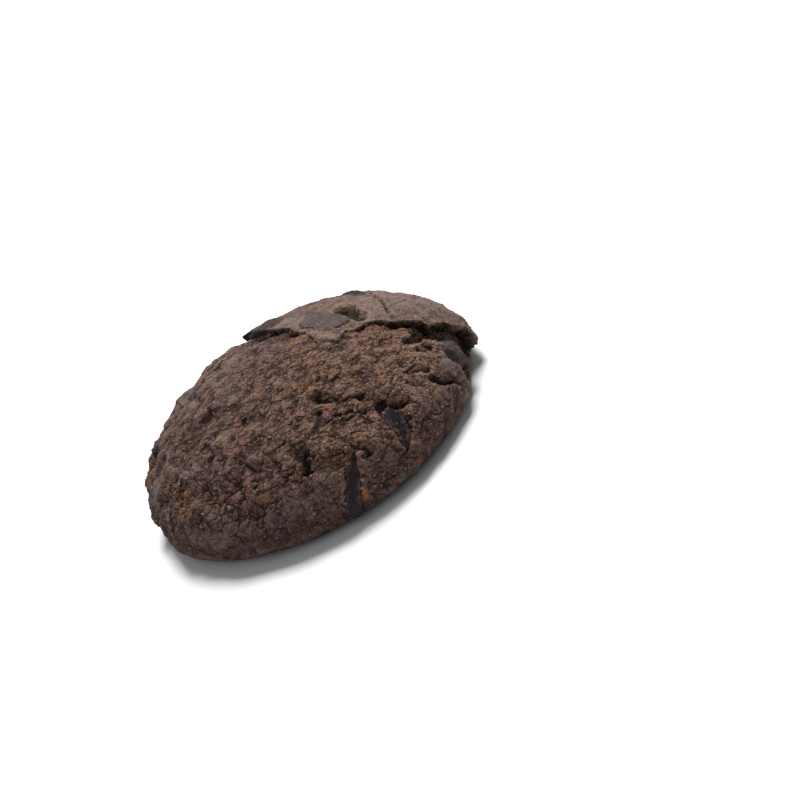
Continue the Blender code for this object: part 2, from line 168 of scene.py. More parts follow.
def smooth_points(u, v):
    """Points of the smooth cookie, one row each, for places on the crust map."""
    turn = np.hypot(u, v) / CRUST_RADIUS * QUARTER
    heading = np.arctan2(v, u)
    bend = np.clip((turn - QUARTER) / HEEL_TURN, 0, 1) * QUARTER
    over_rim = np.sin(np.minimum(turn, QUARTER)) ** DOME_FULLNESS
    round_heel = 1 - FOOT_INSET * (1 - np.cos(bend))
    on_foot = (1 - FOOT_INSET) * (math.pi - turn) / (QUARTER - HEEL_TURN)
    under_rim = np.where(turn <= QUARTER + HEEL_TURN, round_heel, on_foot)
    waves = sum(swing * np.cos(n * (heading - math.radians(at))) for n, swing, at in RIM_WAVES)
    spread = np.where(turn <= QUARTER, over_rim, under_rim) * (1 + waves)
    over_level = RIM_LEVEL + (HEIGHT - RIM_LEVEL) * np.cos(turn)
    level = np.where(turn <= QUARTER, over_level, RIM_LEVEL * (1 - np.sin(bend)))
    across = LENGTH / 2 * spread * np.cos(heading)
    away = WIDTH / 2 * spread * np.sin(heading)
    return np.stack((across, away, level), axis=1)


def unit(rows):
    """Rows made one long."""
    return rows / np.maximum(np.linalg.norm(rows, axis=1, keepdims=True), 1e-9)


def outward(points):
    """Directions straight out of the smooth crust."""
    across = points[:, 0] / (LENGTH / 2) ** 2
    away = points[:, 1] / (WIDTH / 2) ** 2
    steepness = np.maximum(points[:, 2] - RIM_LEVEL, 0) / (HEIGHT - RIM_LEVEL) ** 2
    return unit(np.stack((across, away, steepness), axis=1))


def along_crust(u, v, du, dv):
    """Directions on the crust that small steps on the map make."""
    ahead = smooth_points(u + du * MAP_STEP, v + dv * MAP_STEP)
    behind = smooth_points(u - du * MAP_STEP, v - dv * MAP_STEP)
    return unit(ahead - behind)


print("smooth cookie", LENGTH, "x", WIDTH, "x", HEIGHT, "mm")

# %% [markdown]
# ## Noise with a size
# Baked dough is uneven at every size, so most of its shape comes from noise. These helpers take
# a size in millimetres, which is easier to check against a real cookie than a scale.

# %% Noise helpers
LUMP_LAYERS = (0.9, 2.0, 2)
CELL_SPREAD = 7.7


def soft(points, size, shift=(0, 0, 0)):
    """Smooth noise from -1 to 1, with lumps of about that size."""
    return np.array([noise.noise(Vector(place)) for place in points / size + np.array(shift)])


def layered(points, size):
    """Smooth noise with a finer layer on it."""
    return np.array([noise.fractal(Vector(place), *LUMP_LAYERS) for place in points / size])


def cells(points, size, shift=(0, 0, 0)):
    """For scattered cells of a size: how far out in its cell a point is, how far from the border
    with the next cell, both in cell widths, and a height of each cell's own, -1 to 1."""
    found = []
    for place in points / size + np.array(shift):
        distances, middles = noise.voronoi(Vector(place))
        found.append((distances[0], distances[1] - distances[0], noise.cell(middles[0] * CELL_SPREAD)))
    return np.array(found).T


def smoothstep(low, high, value):
    """0 at low, 1 at high, and an even turn between."""
    share = np.clip((value - low) / (high - low), 0, 1)
    return share * share * (3 - 2 * share)


# %% [markdown]
# ## The lifted slab
# As the middle rose in the oven, the crust tore along a line and one side lifted over the other.
# The edge is a path on the crust map with the height of the step at each point. The crust is
# raised on one side of it, sunk on the other, and slides out over the gap.

# %% The slab's edge
EdgePoint = namedtuple("EdgePoint", "u v step")
SLAB_EDGE = (
    EdgePoint(3.0, 46.0, 0.5),
    EdgePoint(-1.5, 34.0, 1.3),
    EdgePoint(-1.6, 21.5, 3.2),
    EdgePoint(2.4, 10.0, 2.2),
    EdgePoint(5.2, 3.5, 1.2),
    EdgePoint(7.5, -3.2, 0.6),
    EdgePoint(10.5, -5.0, 0.5),
    EdgePoint(15.0, -3.6, 0.9),
    EdgePoint(20.0, -5.0, 1.4),
    EdgePoint(25.2, -7.2, 2.4),
    EdgePoint(28.0, -8.7, 3.2),
    EdgePoint(34.0, -8.2, 3.6),
    EdgePoint(40.0, -6.8, 4.0),
    EdgePoint(47.0, -6.0, 4.4),
)
SLAB_SHARE = 0.34
SLAB_REACH = 13.0
SLAB_OVERHANG = 0.5
HOLLOW_REACH = 3.4
BREAK_WIDTH = 0.7
LIP_REACH = 3.0
RECESS_REACH = 2.0
SLAB_EVENNESS = 0.55
EDGE_RAGGED = ((4.0, 0.9, 0.0), (1.7, 0.36, 7.0))
SAME = 1e-4


def to_segment(place, start, end):
    """Distance to a segment of the map, the share along it, and the side."""
    start, run = np.array(start), np.array(end) - np.array(start)
    share = np.clip((place - start) @ run / (run @ run), 0, 1)
    offset = place - start - share[:, None] * run
    side = (run[0] * offset[:, 1] - run[1] * offset[:, 0]) / np.linalg.norm(run)
    return np.linalg.norm(offset, axis=1), share, side


def slab_position(u, v):
    """Distance onto the slab (below zero off it), the step there, and the way off the slab."""
    place = np.stack((u, v), axis=1)
    nearest, nearest_side = np.full(len(u), np.inf), np.zeros(len(u))
    step, off_slab = np.zeros(len(u)), np.zeros((len(u), 2))
    for head, tail in zip(SLAB_EDGE, SLAB_EDGE[1:]):
        distance, share, side = to_segment(place, head[:2], tail[:2])
        tie = (np.abs(distance - nearest) < SAME) & (np.abs(side) > np.abs(nearest_side))
        closer = (distance < nearest - SAME) | tie
        run = unit(np.array([[tail.u - head.u, tail.v - head.v]]))[0]
        nearest = np.where(closer, distance, nearest)
        nearest_side = np.where(closer, side, nearest_side)
        step = np.where(closer, head.step + (tail.step - head.step) * share, step)
        off_slab[closer] = (run[1], -run[0])
    ragged = 0
    for size, sway, level in EDGE_RAGGED:
        ragged = ragged + sway * soft(np.stack((u, v, 0 * u + level), axis=1), size)
    return np.where(nearest_side > 0, nearest, -nearest) + ragged, step, off_slab


print("the slab's step runs from", SLAB_EDGE[0].step, "to", SLAB_EDGE[-1].step, "mm")

# %% [markdown]
# ## A fine ball of dough
# The crust needs points about a quarter of a millimetre apart, the foot far fewer. So a ball is
# divided evenly, and then its upper part twice more. Each point's direction from the middle of
# the ball is its place on the crust map. The slab's broken wall stretches the triangles that
# cross it, so those are divided once again first.

# %% The ball
BALL_DIVISIONS = 6
FINER_ABOVE = (-0.36, -0.02)
LEAST_STEP, WALL_REACH = 2.2, 0.9


def on_map(ball):
    """Turn from the crown, and place on the crust map, for directions from the ball's middle."""
    turn = np.arccos(np.clip(ball[:, 2], -1, 1))
    heading = np.arctan2(ball[:, 1], ball[:, 0])
    reach = turn / QUARTER * CRUST_RADIUS
    return turn, reach * np.cos(heading), reach * np.sin(heading)


bm = bmesh.new()
bmesh.ops.create_icosphere(bm, subdivisions=BALL_DIVISIONS, radius=1)
for lowest in FINER_ABOVE:
    upper = [edge for edge in bm.edges if min(vert.co.z for vert in edge.verts) > lowest]
    bmesh.ops.subdivide_edges(bm, edges=upper, cuts=1, use_grid_fill=True)
turn, u, v = on_map(unit(np.array([vert.co for vert in bm.verts])))
on_slab, slab_step, _ = slab_position(u, v)
on_wall = (np.abs(on_slab) < WALL_REACH) & (slab_step > LEAST_STEP) & (turn < QUARTER)
bm.verts.index_update()
crossing = [edge for edge in bm.edges if all(on_wall[vert.index] for vert in edge.verts)]
bmesh.ops.subdivide_edges(bm, edges=crossing, cuts=1, use_grid_fill=True)
bmesh.ops.triangulate(bm, faces=bm.faces)
crust_mesh = bpy.data.meshes.new("cookie_crust")
bm.to_mesh(crust_mesh)
bm.free()


def places_of(mesh):
    """A mesh's points as rows."""
    rows = np.empty(len(mesh.vertices) * 3, np.float32)
    mesh.vertices.foreach_get("co", rows)
    return rows.reshape(-1, 3).astype(float)


turn, u, v = on_map(unit(places_of(crust_mesh)))
on_slab, slab_step, off_slab = slab_position(u, v)
print("the ball has", len(u), "points,", int((on_slab > 0).sum()), "of them on the slab, and")
print(len(crust_mesh.polygons), "triangles")

# %% [markdown]
# ## Cracks, pits and dents
# The large cracks are the ones that the picture shows, each a path on the map with its width and
# depth. They are V-shaped, because a crust that dries tears from the top down. Over two chunks the
# crust has parted with steep walls and a flat floor, and dents are shallow bowls. Cracks and
# openings wander a little off their paths.

# %% Cracks and dents
CRACK_RAGGED = ((3.1, 0.9), (1.3, 0.35))
WANDER_SHIFT = (9, 4, 2)
CRACK_TAPER = 1.3
DEEPEST_CUT = 4.2
Crack = namedtuple("Crack", "path half_width depth")
CRACKS = (
    Crack(((25.5, -10.6), (31.0, -12.0), (37.0, -11.6), (47.0, -9.8)), 3.0, 3.2),
    Crack(((21.6, -11.8), (25.2, -12.6)), 1.5, 1.6),
    Crack(((14.2, 5.0), (15.2, 1.8), (16.0, -0.4)), 1.5, 2.9),
    Crack(((21.8, 13.0), (21.8, 4.4), (22.0, 0.8), (21.6, -4.0)), 0.8, 0.7),
    Crack(((26.8, 3.0), (22.0, 0.8)), 0.7, 0.5),
    Crack(((6.4, -0.2), (7.4, -2.4), (8.8, -4.4)), 0.9, 0.9),
    Crack(((3.9, -15.3), (5.2, -17.5)), 1.5, 1.9),
    Crack(((5.2, -17.5), (7.8, -20.0), (10.0, -21.4)), 0.7, 0.6),
    Crack(((5.4, -21.8), (7.4, -23.0), (10.0, -24.8)), 0.7, 0.5),
    Crack(((3.0, -20.4), (0.4, -24.0)), 1.0, 0.6),
    Crack(((-1.8, -26.0), (-2.9, -28.0), (-3.8, -30.4)), 1.2, 1.9),
    Crack(((20.0, -20.2), (22.4, -20.9), (24.6, -21.9)), 1.3, 1.3),
    Crack(((24.2, -15.2), (27.6, -16.0)), 1.2, 1.1),
    Crack(((25.4, -23.8), (27.8, -24.8), (31.2, -25.5)), 1.3, 2.2),
    Crack(((31.4, -25.5), (34.0, -26.0), (39.0, -24.4)), 1.0, 1.0),
    Crack(((5.6, -30.6), (6.5, -33.0), (7.4, -35.4)), 1.0, 1.2),
    Crack(((14.8, -25.6), (17.8, -27.6)), 1.4, 1.3),
    Crack(((-15.2, -9.4), (-15.0, -11.4), (-15.3, -13.4)), 1.0, 0.8),
    Crack(((-12.4, 7.0), (-11.8, 3.0)), 1.0, 0.8),
    Crack(((-41.0, -3.0), (-34.0, -6.8), (-29.0, -9.0)), 1.8, 0.9),
    Crack(((-11.2, -21.0), (-10.8, -24.0)), 1.0, 0.5),
    Crack(((-27.0, 13.0), (-20.0, 12.0), (-15.0, 9.5), (-7.0, 9.0)), 2.0, 1.0),
    Crack(((-26.0, 29.0), (-18.0, 26.0), (-9.0, 28.5), (-4.0, 36.0)), 1.7, 2.4),
    Crack(((-18.0, 26.0), (-14.0, 19.0)), 1.4, 1.6),
    Crack(((14.0, 33.0), (21.0, 28.0), (28.0, 27.5), (34.0, 22.0)), 1.6, 2.2),
    Crack(((21.0, 28.0), (19.0, 19.0)), 1.3, 1.4),
)
Opening = namedtuple("Opening", "u v half_width depth")
WALL_SHARES = (0.72, 1.15)
OPENINGS = (
    (
        Opening(5.4, -32.6, 0.5, 0.9),
        Opening(4.2, -36.0, 1.1, 1.4),
        Opening(2.3, -40.0, 1.4, 1.7),
        Opening(0.0, -46.0, 1.5, 1.7),
    ),
    (
        Opening(13.0, -25.4, 1.4, 0.7),
        Opening(15.2, -30.0, 2.1, 1.3),
        Opening(16.4, -34.8, 2.1, 1.6),
        Opening(15.8, -38.6, 0.7, 1.2),
    ),
)
Dent = namedtuple("Dent", "u v radius depth")
DENTS = (
    Dent(44.0, -17.0, 7.5, 5.2),
    Dent(36.0, -16.5, 6.5, 2.6),
    Dent(41.0, -23.5, 6.0, 1.5),
    Dent(6.0, -22.5, 8.0, 0.9),
    Dent(14.0, -27.0, 6.0, 0.8),
    Dent(9.5, -34.0, 5.0, -0.5),
    Dent(-4.0, 13.0, 6.0, -0.9),
    Dent(-17.0, 13.0, 5.0, 0.5),
    Dent(-12.5, 17.0, 4.0, 1.5),
    Dent(-7.6, 20.0, 4.5, -0.7),
    Dent(-27.0, 19.0, 7.0, -0.8),
    Dent(-20.0, 8.5, 5.0, 0.7),
    Dent(-36.0, 6.0, 6.0, -0.7),
    Dent(-42.0, -8.0, 9.0, 1.0),
    Dent(-30.0, 34.0, 6.0, 1.0),
)


def crack_depth(place, crack):
    """How deep a crack is: full depth on its line, tapering to its ends."""
    pieces = zip(crack.path, crack.path[1:])
    nearest = np.min([to_segment(place, start, end)[0] for start, end in pieces], axis=0)
    return crack.depth * np.clip(1 - nearest / crack.half_width, 0, 1) ** CRACK_TAPER


def opening_depth(place, path):
    """How deep an opening is: full depth over its floor, with steep walls."""
    depth = np.zeros(len(place))
    for start, end in zip(path, path[1:]):
        distance, share, _ = to_segment(place, start[:2], end[:2])
        half_width = start.half_width + (end.half_width - start.half_width) * share
        floor_depth = start.depth + (end.depth - start.depth) * share
        wall = smoothstep(*WALL_SHARES, distance / half_width)
        depth = np.maximum(depth, floor_depth * (1 - wall))
    return depth


def dent_depth(place, dent):
    """How deep a dent is."""
    share = np.linalg.norm(place - np.array((dent.u, dent.v)), axis=1) / dent.radius
    return dent.depth * np.clip(1 - share * share, 0, 1) ** 2


smooth = smooth_points(u, v)
place = np.stack((u, v), axis=1)
for size, sway in CRACK_RAGGED:
    place += sway * np.stack((soft(smooth, size), soft(smooth, size, WANDER_SHIFT)), axis=1)
cut = sum(crack_depth(place, crack) for crack in CRACKS)
cut += sum(opening_depth(place, path) for path in OPENINGS)
cut = np.minimum(cut, DEEPEST_CUT)
print("deepest crack", round(float(cut.max()), 1), "mm")

# %% [markdown]
# ## The crust's relief
# Broad swellings, lumps of about 5 mm and knobs of 2.6 mm are the solid's own. Their heights are
# added up and the crust is moved out by them. The relief fades round the heel, so that the foot
# stays flat on the table.

# %% Moving the crust
SWELLING, SWELLING_SHIFT = (17.0, 0.9), (3.1, 0.4, 1.7)
LUMPS, LUMP_MIDDLE, LUMPS_CALMED = (5.2, 0.95), 0.1, 0.45
NEAR_RIM = ((0.6, 0.95), (0.0, 14.0))
KNOBS, KNOB_TOP, KNOB_FALL, KNOB_LEAST = (2.6, 0.22), 0.55, 1.6, 0.45
COARSE_SIDE, COARSE_SLANT = (-12.0, 18.0), -0.3
CUT_ON_SLAB, CUT_RUNOUT, NEAR_SIDE_ENDS = 0.25, 2.0, -2.0
RELIEF_ENDS = 0.8

coarse = smoothstep(*COARSE_SIDE, u + COARSE_SLANT * v)
lift = SWELLING[1] * soft(smooth, SWELLING[0], SWELLING_SHIFT)
near_rim = smoothstep(*NEAR_RIM[0], turn / QUARTER) * smoothstep(*NEAR_RIM[1], -v)
lift += LUMPS[1] * (1 - LUMPS_CALMED * near_rim) * (layered(smooth, LUMPS[0]) - LUMP_MIDDLE)
lift += KNOBS[1] * (KNOB_LEAST + coarse) * (KNOB_TOP - KNOB_FALL * cells(smooth, KNOBS[0])[0])

over = smoothstep(-BREAK_WIDTH, BREAK_WIDTH, on_slab)
onto, beyond = np.maximum(on_slab, 0), np.maximum(-on_slab, 0)
lift *= 1 - SLAB_EVENNESS * over
lift += over * SLAB_SHARE * slab_step * np.exp(-onto / SLAB_REACH)
hollow = (1 - over) * (1 - SLAB_SHARE) * slab_step * np.exp(-beyond / HOLLOW_REACH)
lift -= hollow
lip = over * np.exp(-onto / LIP_REACH) - (1 - over) * np.exp(-beyond / RECESS_REACH)
slide = (SLAB_OVERHANG * slab_step * lip)[:, None] * along_crust(u, v, off_slab[:, 0], off_slab[:, 1])

stopped = over * smoothstep(0, CUT_RUNOUT, on_slab) * (v < NEAR_SIDE_ENDS)
lift -= cut * (1 - (1 - CUT_ON_SLAB) * stopped)
lift -= sum(dent_depth(place, dent) for dent in DENTS)
fade = 1 - smoothstep(QUARTER, QUARTER + RELIEF_ENDS * HEEL_TURN, turn)
crust = smooth + fade[:, None] * (lift[:, None] * outward(smooth) + slide)
crust[:, 2] = np.maximum(crust[:, 2], 0)
print("crust reaches", crust.max(axis=0).round(2), "mm")

# %% [markdown]
# ## Patches of the crust
# The crust isn't the same all over. Where it tore, raw reddish crumb shows. Where melted
# chocolate was rubbed over it, it is smooth and grey. Where shade falls, on the slab's broken
# face, in its crevice and in pits, patches are painted dark as painted shade, and the near rim is
# painted darker as painted shade. Some places dried paler than the rest. Each patch is an oval on
# the map with a strength, and a point takes the most that any patch gives it.

# %% Torn, smeared, painted-shade and pale patches
Patch = namedtuple("Patch", "u v along across heading strength")
TORN = (
    Patch(17.0, -5.2, 3.6, 1.3, 0, 1.0),
    Patch(20.5, -9.0, 6.0, 3.2, -10, 0.55),
    Patch(1.5, -11.5, 3.6, 1.8, -20, 0.75),
    Patch(11.0, -11.5, 2.0, 1.6, 0, 0.6),
    Patch(-8.0, -11.3, 2.0, 1.2, 30, 0.7),
    Patch(-26.5, -15.5, 5.0, 3.6, 40, 1.0),
    Patch(-27.0, -11.0, 4.0, 2.0, 20, 0.5),
    Patch(-17.5, -25.6, 1.6, 1.0, 60, 1.0),
    Patch(-12.0, -29.0, 7.0, 4.0, 10, 0.45),
    Patch(-17.0, -34.0, 3.0, 2.0, 30, 0.5),
    Patch(-31.0, 5.0, 5.0, 1.6, 120, 0.8),
    Patch(-22.0, 3.0, 3.0, 1.4, 100, 0.6),
    Patch(3.2, -43.0, 3.4, 1.2, 100, 1.0),
    Patch(25.0, -22.4, 1.6, 1.2, 0, 0.6),
    Patch(26.0, -16.0, 2.0, 1.2, 0, 0.5),
    Patch(-33.0, 6.0, 6.0, 2.2, 100, 0.9),
)
SMEARS = (
    Patch(6.6, 8.6, 5.0, 2.6, 117, 0.9),
    Patch(-14.0, 9.0, 15.0, 8.0, 178, 0.7),
    Patch(-12.0, -10.4, 3.2, 1.4, 8, 1.0),
    Patch(-31.0, -3.0, 7.0, 2.4, 160, 0.9),
    Patch(-26.0, -1.0, 6.0, 1.6, 150, 0.7),
    Patch(-15.0, 3.0, 6.0, 2.6, 120, 0.5),
    Patch(-6.0, 3.5, 5.0, 3.0, 60, 0.45),
    Patch(-30.0, -27.0, 8.0, 3.4, -45, 0.6),
    Patch(-1.5, -34.0, 3.6, 2.4, 80, 0.7),
    Patch(-9.0, -37.0, 7.0, 2.6, 0, 0.6),
    Patch(10.0, -37.0, 3.4, 5.0, 0, 0.4),
    Patch(30.0, 8.0, 16.0, 12.0, 0, 0.5),
    Patch(36.0, -18.0, 5.0, 3.0, -10, 0.8),
)
# Painted shade: patches painted dark where shade falls, on the slab's broken face, in its crevice and in pits
PAINTED_SHADE_PATCHES = (
    Patch(-0.2, 17.0, 7.0, 2.2, 100, 1.0),
    Patch(4.4, 6.0, 3.6, 1.6, 113, 0.6),
    Patch(-3.4, 9.6, 2.4, 1.3, 120, 0.6),
    Patch(-13.2, 5.6, 1.6, 1.2, 0, 0.7),
    Patch(5.0, 19.5, 4.0, 1.8, 113, 0.7),
    Patch(11.0, 15.5, 5.0, 1.6, 113, 0.6),
    Patch(18.6, 13.0, 6.0, 1.8, 113, 0.8),
    Patch(14.9, 1.6, 3.4, 1.6, 110, 0.9),
    Patch(9.0, -20.6, 3.2, 1.2, -30, 0.8),
    Patch(2.2, -22.0, 2.6, 1.6, 55, 0.7),
    Patch(13.6, -26.4, 2.6, 1.6, -60, 0.5),
    Patch(23.6, -12.2, 2.2, 1.3, 0, 0.9),
    Patch(-2.4, -28.0, 3.0, 1.0, 110, 0.8),
    Patch(0.5, -30.0, 3.0, 2.0, 60, 0.4),
    Patch(-11.2, -22.4, 1.8, 1.0, 90, 0.7),
    Patch(-16.0, -32.5, 4.6, 1.6, 10, 0.5),
    Patch(-20.0, -29.5, 2.4, 1.6, 30, 0.7),
    Patch(-20.0, -26.7, 2.2, 1.8, 0, 0.8),
    Patch(-3.0, -17.5, 4.0, 2.0, 30, 0.35),
    Patch(36.0, -14.0, 6.0, 1.8, -10, 0.8),
)
TONES = (
    Patch(26.0, -14.5, 10.0, 6.0, -20, 1.0),
    Patch(22.0, -23.0, 8.0, 5.0, -50, 1.0),
    Patch(9.0, -28.0, 4.0, 2.6, 0, 0.7),
    Patch(24.0, 8.0, 15.0, 12.0, 0, 0.3),
    Patch(16.0, -9.0, 6.0, 3.0, 0, 0.5),
    Patch(-8.0, 10.0, 9.0, 5.0, 0, 0.5),
    Patch(9.0, 2.0, 6.0, 4.0, 117, 0.6),
)


COVER_EDGE = (0.45, 1.15)
# Painted shade: the near rim, turned from the main light, is painted darker; the other tones are the crust's
# own
RIM_SHADE, RIM_SHADE_SHARES = -0.5, (0.82, 1.0)


def cover(place, patches):
    """How far each point is covered by the patches, 0 to 1."""
    most = np.zeros(len(place))
    for patch in patches:
        angle = math.radians(patch.heading)
        offset = place - np.array((patch.u, patch.v))
        along = offset @ np.array((math.cos(angle), math.sin(angle))) / patch.along
        across = offset @ np.array((-math.sin(angle), math.cos(angle))) / patch.across
        inside = 1 - smoothstep(*COVER_EDGE, np.hypot(along, across))
        most = np.maximum(most, patch.strength * inside)
    return most


torn = cover(place, TORN)
smear = cover(place, SMEARS)
painted_shade = cover(place, PAINTED_SHADE_PATCHES)
tone_and_rim_shade = cover(place, TONES) + RIM_SHADE * smoothstep(*RIM_SHADE_SHARES, turn / QUARTER) * (v < 0)
for name, covered in (("torn", torn), ("smeared", smear), ("shaded", painted_shade)):
    print(int((covered > 0.5).sum()), "points", name)

# %% [markdown]
# ## Plates and folds
# Close up, the crust is a crackle of plates a few millimetres across, some of them a step higher
# than the next. On the left the dough was drawn out while it spread, so there are long folds with
# creases between them. The patterns are taken at places that noise has shifted to and fro, so
# that no border in them is straight.

# %% Folds, steps and plates
def set_places(mesh, rows):
    """Move a mesh's points to rows in millimetres."""
    mesh.vertices.foreach_set("co", (rows * MM).astype(np.float32).ravel())
    mesh.update()


def normals_of(mesh):
    """A mesh's point normals as rows."""
    rows = np.empty(len(mesh.vertices) * 3, np.float32)
    mesh.vertices.foreach_get("normal", rows)
    return rows.reshape(-1, 3).astype(float)


WARP_SIZE, WARP_SHIFTS = 2.3, ((0, 0, 0), (5, 1, 3), (2, 8, 6))
FOLD_LENGTHS, FOLD_WARP, STRETCHED_SIDE = np.array((7.5, 2.6, 2.6)), 0.12, (14.0, -14.0)
CREASE_WIDTH, CREASE_PATCH, CREASE_SHIFT, CREASE_ENDS = 0.10, 5.5, (2, 7, 4), (-0.05, 0.35)
STEP_SIZE, STEP_WARP, STEP_SHIFT, STEP_EDGE = 5.5, 1.3, (7, 3, 1), 0.07
PLATE_SIZE, PLATE_WARP, PLATE_SHIFT = 2.6, 0.6, (6, 2, 9)
PLATE_DRAWN_OUT, PLATE_EDGE = np.array((0.6, 1.0, 1.0)), (0.02, 0.15)
PATCHY_SIZE, PATCHY_SHIFT, PATCHY_ENDS = 2.6, (4, 4, 4), (-0.35, 0.25)

set_places(crust_mesh, crust)
warp = np.stack([soft(crust, WARP_SIZE, shift) for shift in WARP_SHIFTS], axis=1)
folds = soft(crust / FOLD_LENGTHS + FOLD_WARP * warp, 1.0)
stretched = smoothstep(*STRETCHED_SIDE, u) * (1 - over)
creases = 1 - smoothstep(0.0, CREASE_WIDTH, np.abs(folds))
creases *= smoothstep(*CREASE_ENDS, soft(crust, CREASE_PATCH, CREASE_SHIFT))
_, step_border, step_height = cells(crust + STEP_WARP * warp, STEP_SIZE, STEP_SHIFT)
steps = step_height * smoothstep(0.0, STEP_EDGE, step_border)
plates = crust * PLATE_DRAWN_OUT + PLATE_WARP * warp
_, plate_border, plate_height = cells(plates, PLATE_SIZE, PLATE_SHIFT)
patchy = smoothstep(*PATCHY_ENDS, soft(crust, PATCHY_SIZE, PATCHY_SHIFT))
crackle = (1 - smoothstep(*PLATE_EDGE, plate_border)) * patchy * (1 - 0.8 * smear)
print("crackle on", round(100 * float((crackle > 0.5).mean()), 1), "% of the points")

# %% [markdown]
# ## Granules
# Each plate is a crust of granules under a millimetre wide, with nodules of about 2 mm among them
# where the crust is coarse, and a broken unevenness over all. Smears, small smooth islands, the
# slab and the near rim are calmer. Everything is pushed out along the normals that the crust has
# by now, also on the broken wall of the slab.

# %% Granules and the finished crust
ISLAND_SIZE, ISLAND_WARP, ISLAND_SHIFT, ISLAND_ENDS = 2.7, 0.8, (8, 2, 5), (0.02, 0.32)
NODULE_SIZE, NODULE_WARP, NODULE_SHIFT, GAP_WIDTH = 2.1, 0.9, (3, 1, 2), 0.22
GRANULE_SIZE, GRANULE_WARP, GRANULE_SHIFT = 0.8, 0.4, (1, 5, 4)
BROKEN_SIZE, BROKEN_WARP, BROKEN_LAYERS, BROKEN_HEIGHT = 2.4, 0.5, (0.7, 2.1, 3), 0.11
BRINK_REACH, BRINK_STEPS = 1.2, (0.8, 2.0)
GRANULE_ROUND, GRANULE_HEIGHT = 0.07, 0.12
NODULE_ROUND, NODULE_HEIGHT, GAP_DEPTH = 0.04, 0.13, 0.12
STEP_HEIGHT, FOLD_HEIGHT, CREASE_DEPTH = 0.20, 0.50, 0.30
PLATE_HEIGHT, CRACKLE_DEPTH = 0.10, 0.23

islands = soft(crust + ISLAND_WARP * warp, ISLAND_SIZE, ISLAND_SHIFT)
islands = smoothstep(*ISLAND_ENDS, islands) * (1 - torn)
swayed = (crust + BROKEN_WARP * warp) / BROKEN_SIZE
broken = np.array([noise.fractal(Vector(at), *BROKEN_LAYERS) for at in swayed])
large, large_border, large_height = cells(crust + NODULE_WARP * warp, NODULE_SIZE, NODULE_SHIFT)
small, _, small_height = cells(crust + GRANULE_WARP * warp, GRANULE_SIZE, GRANULE_SHIFT)
gaps = (1 - smoothstep(0.0, GAP_WIDTH, large_border)) * patchy
brink = np.exp(-((on_slab / BRINK_REACH) ** 2)) * smoothstep(*BRINK_STEPS, slab_step)

rough = (1 - 0.3 * islands) * (1 - 0.75 * smear) * (0.75 + 0.2 * coarse + 0.4 * torn)
rough *= 1 - 0.40 * over + 0.7 * brink
granules = GRANULE_ROUND * (0.5 - small) + GRANULE_HEIGHT * small_height
nodules = NODULE_ROUND * (0.5 - large) + NODULE_HEIGHT * large_height - GAP_DEPTH * gaps
nodules *= 0.15 + 0.7 * coarse + 0.5 * brink
crumb = rough * (granules + nodules + BROKEN_HEIGHT * broken) * (1 - 0.25 * near_rim)
crumb += (1 - 0.7 * over) * (1 - 0.5 * near_rim) * STEP_HEIGHT * steps
crumb += stretched * (1 - 0.7 * near_rim) * (FOLD_HEIGHT * folds - CREASE_DEPTH * creases)
crumb += (1 - 0.7 * over) * (PLATE_HEIGHT * plate_height - CRACKLE_DEPTH * crackle)
crust += (fade * crumb)[:, None] * normals_of(crust_mesh)
crust[:, 2] = np.maximum(crust[:, 2], 0)
set_places(crust_mesh, crust - MIDDLE)
print("crumb from", crumb.min().round(2), "to", crumb.max().round(2), "mm")

# %% [markdown]
# ## Chocolate chunks
# Chunks that lay near the top melted, slumped and set again, so they are soft lumps with a few
# flats where they broke, half sunk in the dough. Each starts as a ball, is drawn out to a block
# with round edges, has flats bitten into it, and is laid along its heading at its place on the
# crust, just where the frame's chunk is. The flats' directions are noise with the solid's own
# seed, so both have the same flats. Bloom and coat say how grey a chunk is, and how much dough
# sticks to it.

# %% Making the chunks
Chunk = namedtuple("Chunk", "name u v heading length width thickness rise bloom coat")
CHUNKS = (
    Chunk("chunk_crown", 10.0, 2.8, 117, 14.0, 7.2, 4.6, -1.55, 0.65, 0.75),
    Chunk("chunk_tip", 2.0, 14.8, 104, 14.0, 6.4, 4.4, -0.9, 0.2, 0.7),
    Chunk("chunk_gap", 34.0, -14.7, -8, 8.4, 5.6, 4.8, -2.5, 0.7, 0.3),
    Chunk("chunk_pale", 31.2, -21.6, 15, 5.6, 4.6, 4.0, -1.4, 1.0, 0.1),
    Chunk("chunk_long", 2.5, -38.8, 68, 14.6, 6.0, 5.0, -3.2, 0.1, 0.35),
    Chunk("chunk_near", 16.2, -34.0, -76, 10.8, 5.6, 4.4, -3.0, 0.0, 0.6),
    Chunk("chunk_ridge", 18.6, 14.2, 113, 8.4, 4.4, 3.6, -1.05, 0.0, 0.5),
    Chunk("chunk_left", -25.0, 7.5, 50, 6.4, 4.6, 4.4, -1.4, 0.1, 0.3),
    Chunk("chip_left", -21.6, -10.4, 40, 2.8, 2.2, 2.6, -1.0, 0.1, 0.5),
    Chunk("chip_low", -19.9, -26.7, 60, 3.2, 2.2, 2.8, -1.4, 0.1, 0.5),
    Chunk("chunk_back", -9.5, 31.0, 15, 8.0, 5.4, 4.8, -1.8, 0.3, 0.7),
    Chunk("chunk_far", 25.0, 31.5, -35, 7.0, 5.0, 4.6, -1.7, 0.4, 0.7),
)
CHUNK_DIVISIONS, CHUNK_DEPTH = 5, 3.0
BLOCKINESS = 2.8
CHUNK_SWELL = (1.7, 0.16)
FACETS = 5
FACET_SEED = 372
FACET_STEP = 2.3
FACET_BITE = (0.76, 0.98)
FACET_FLATNESS = 0.85
CHUNK_GRAIN = ((1.7, 0.18), (0.8, 0.10), (0.4, 0.05))
noise.seed_set(FACET_SEED)


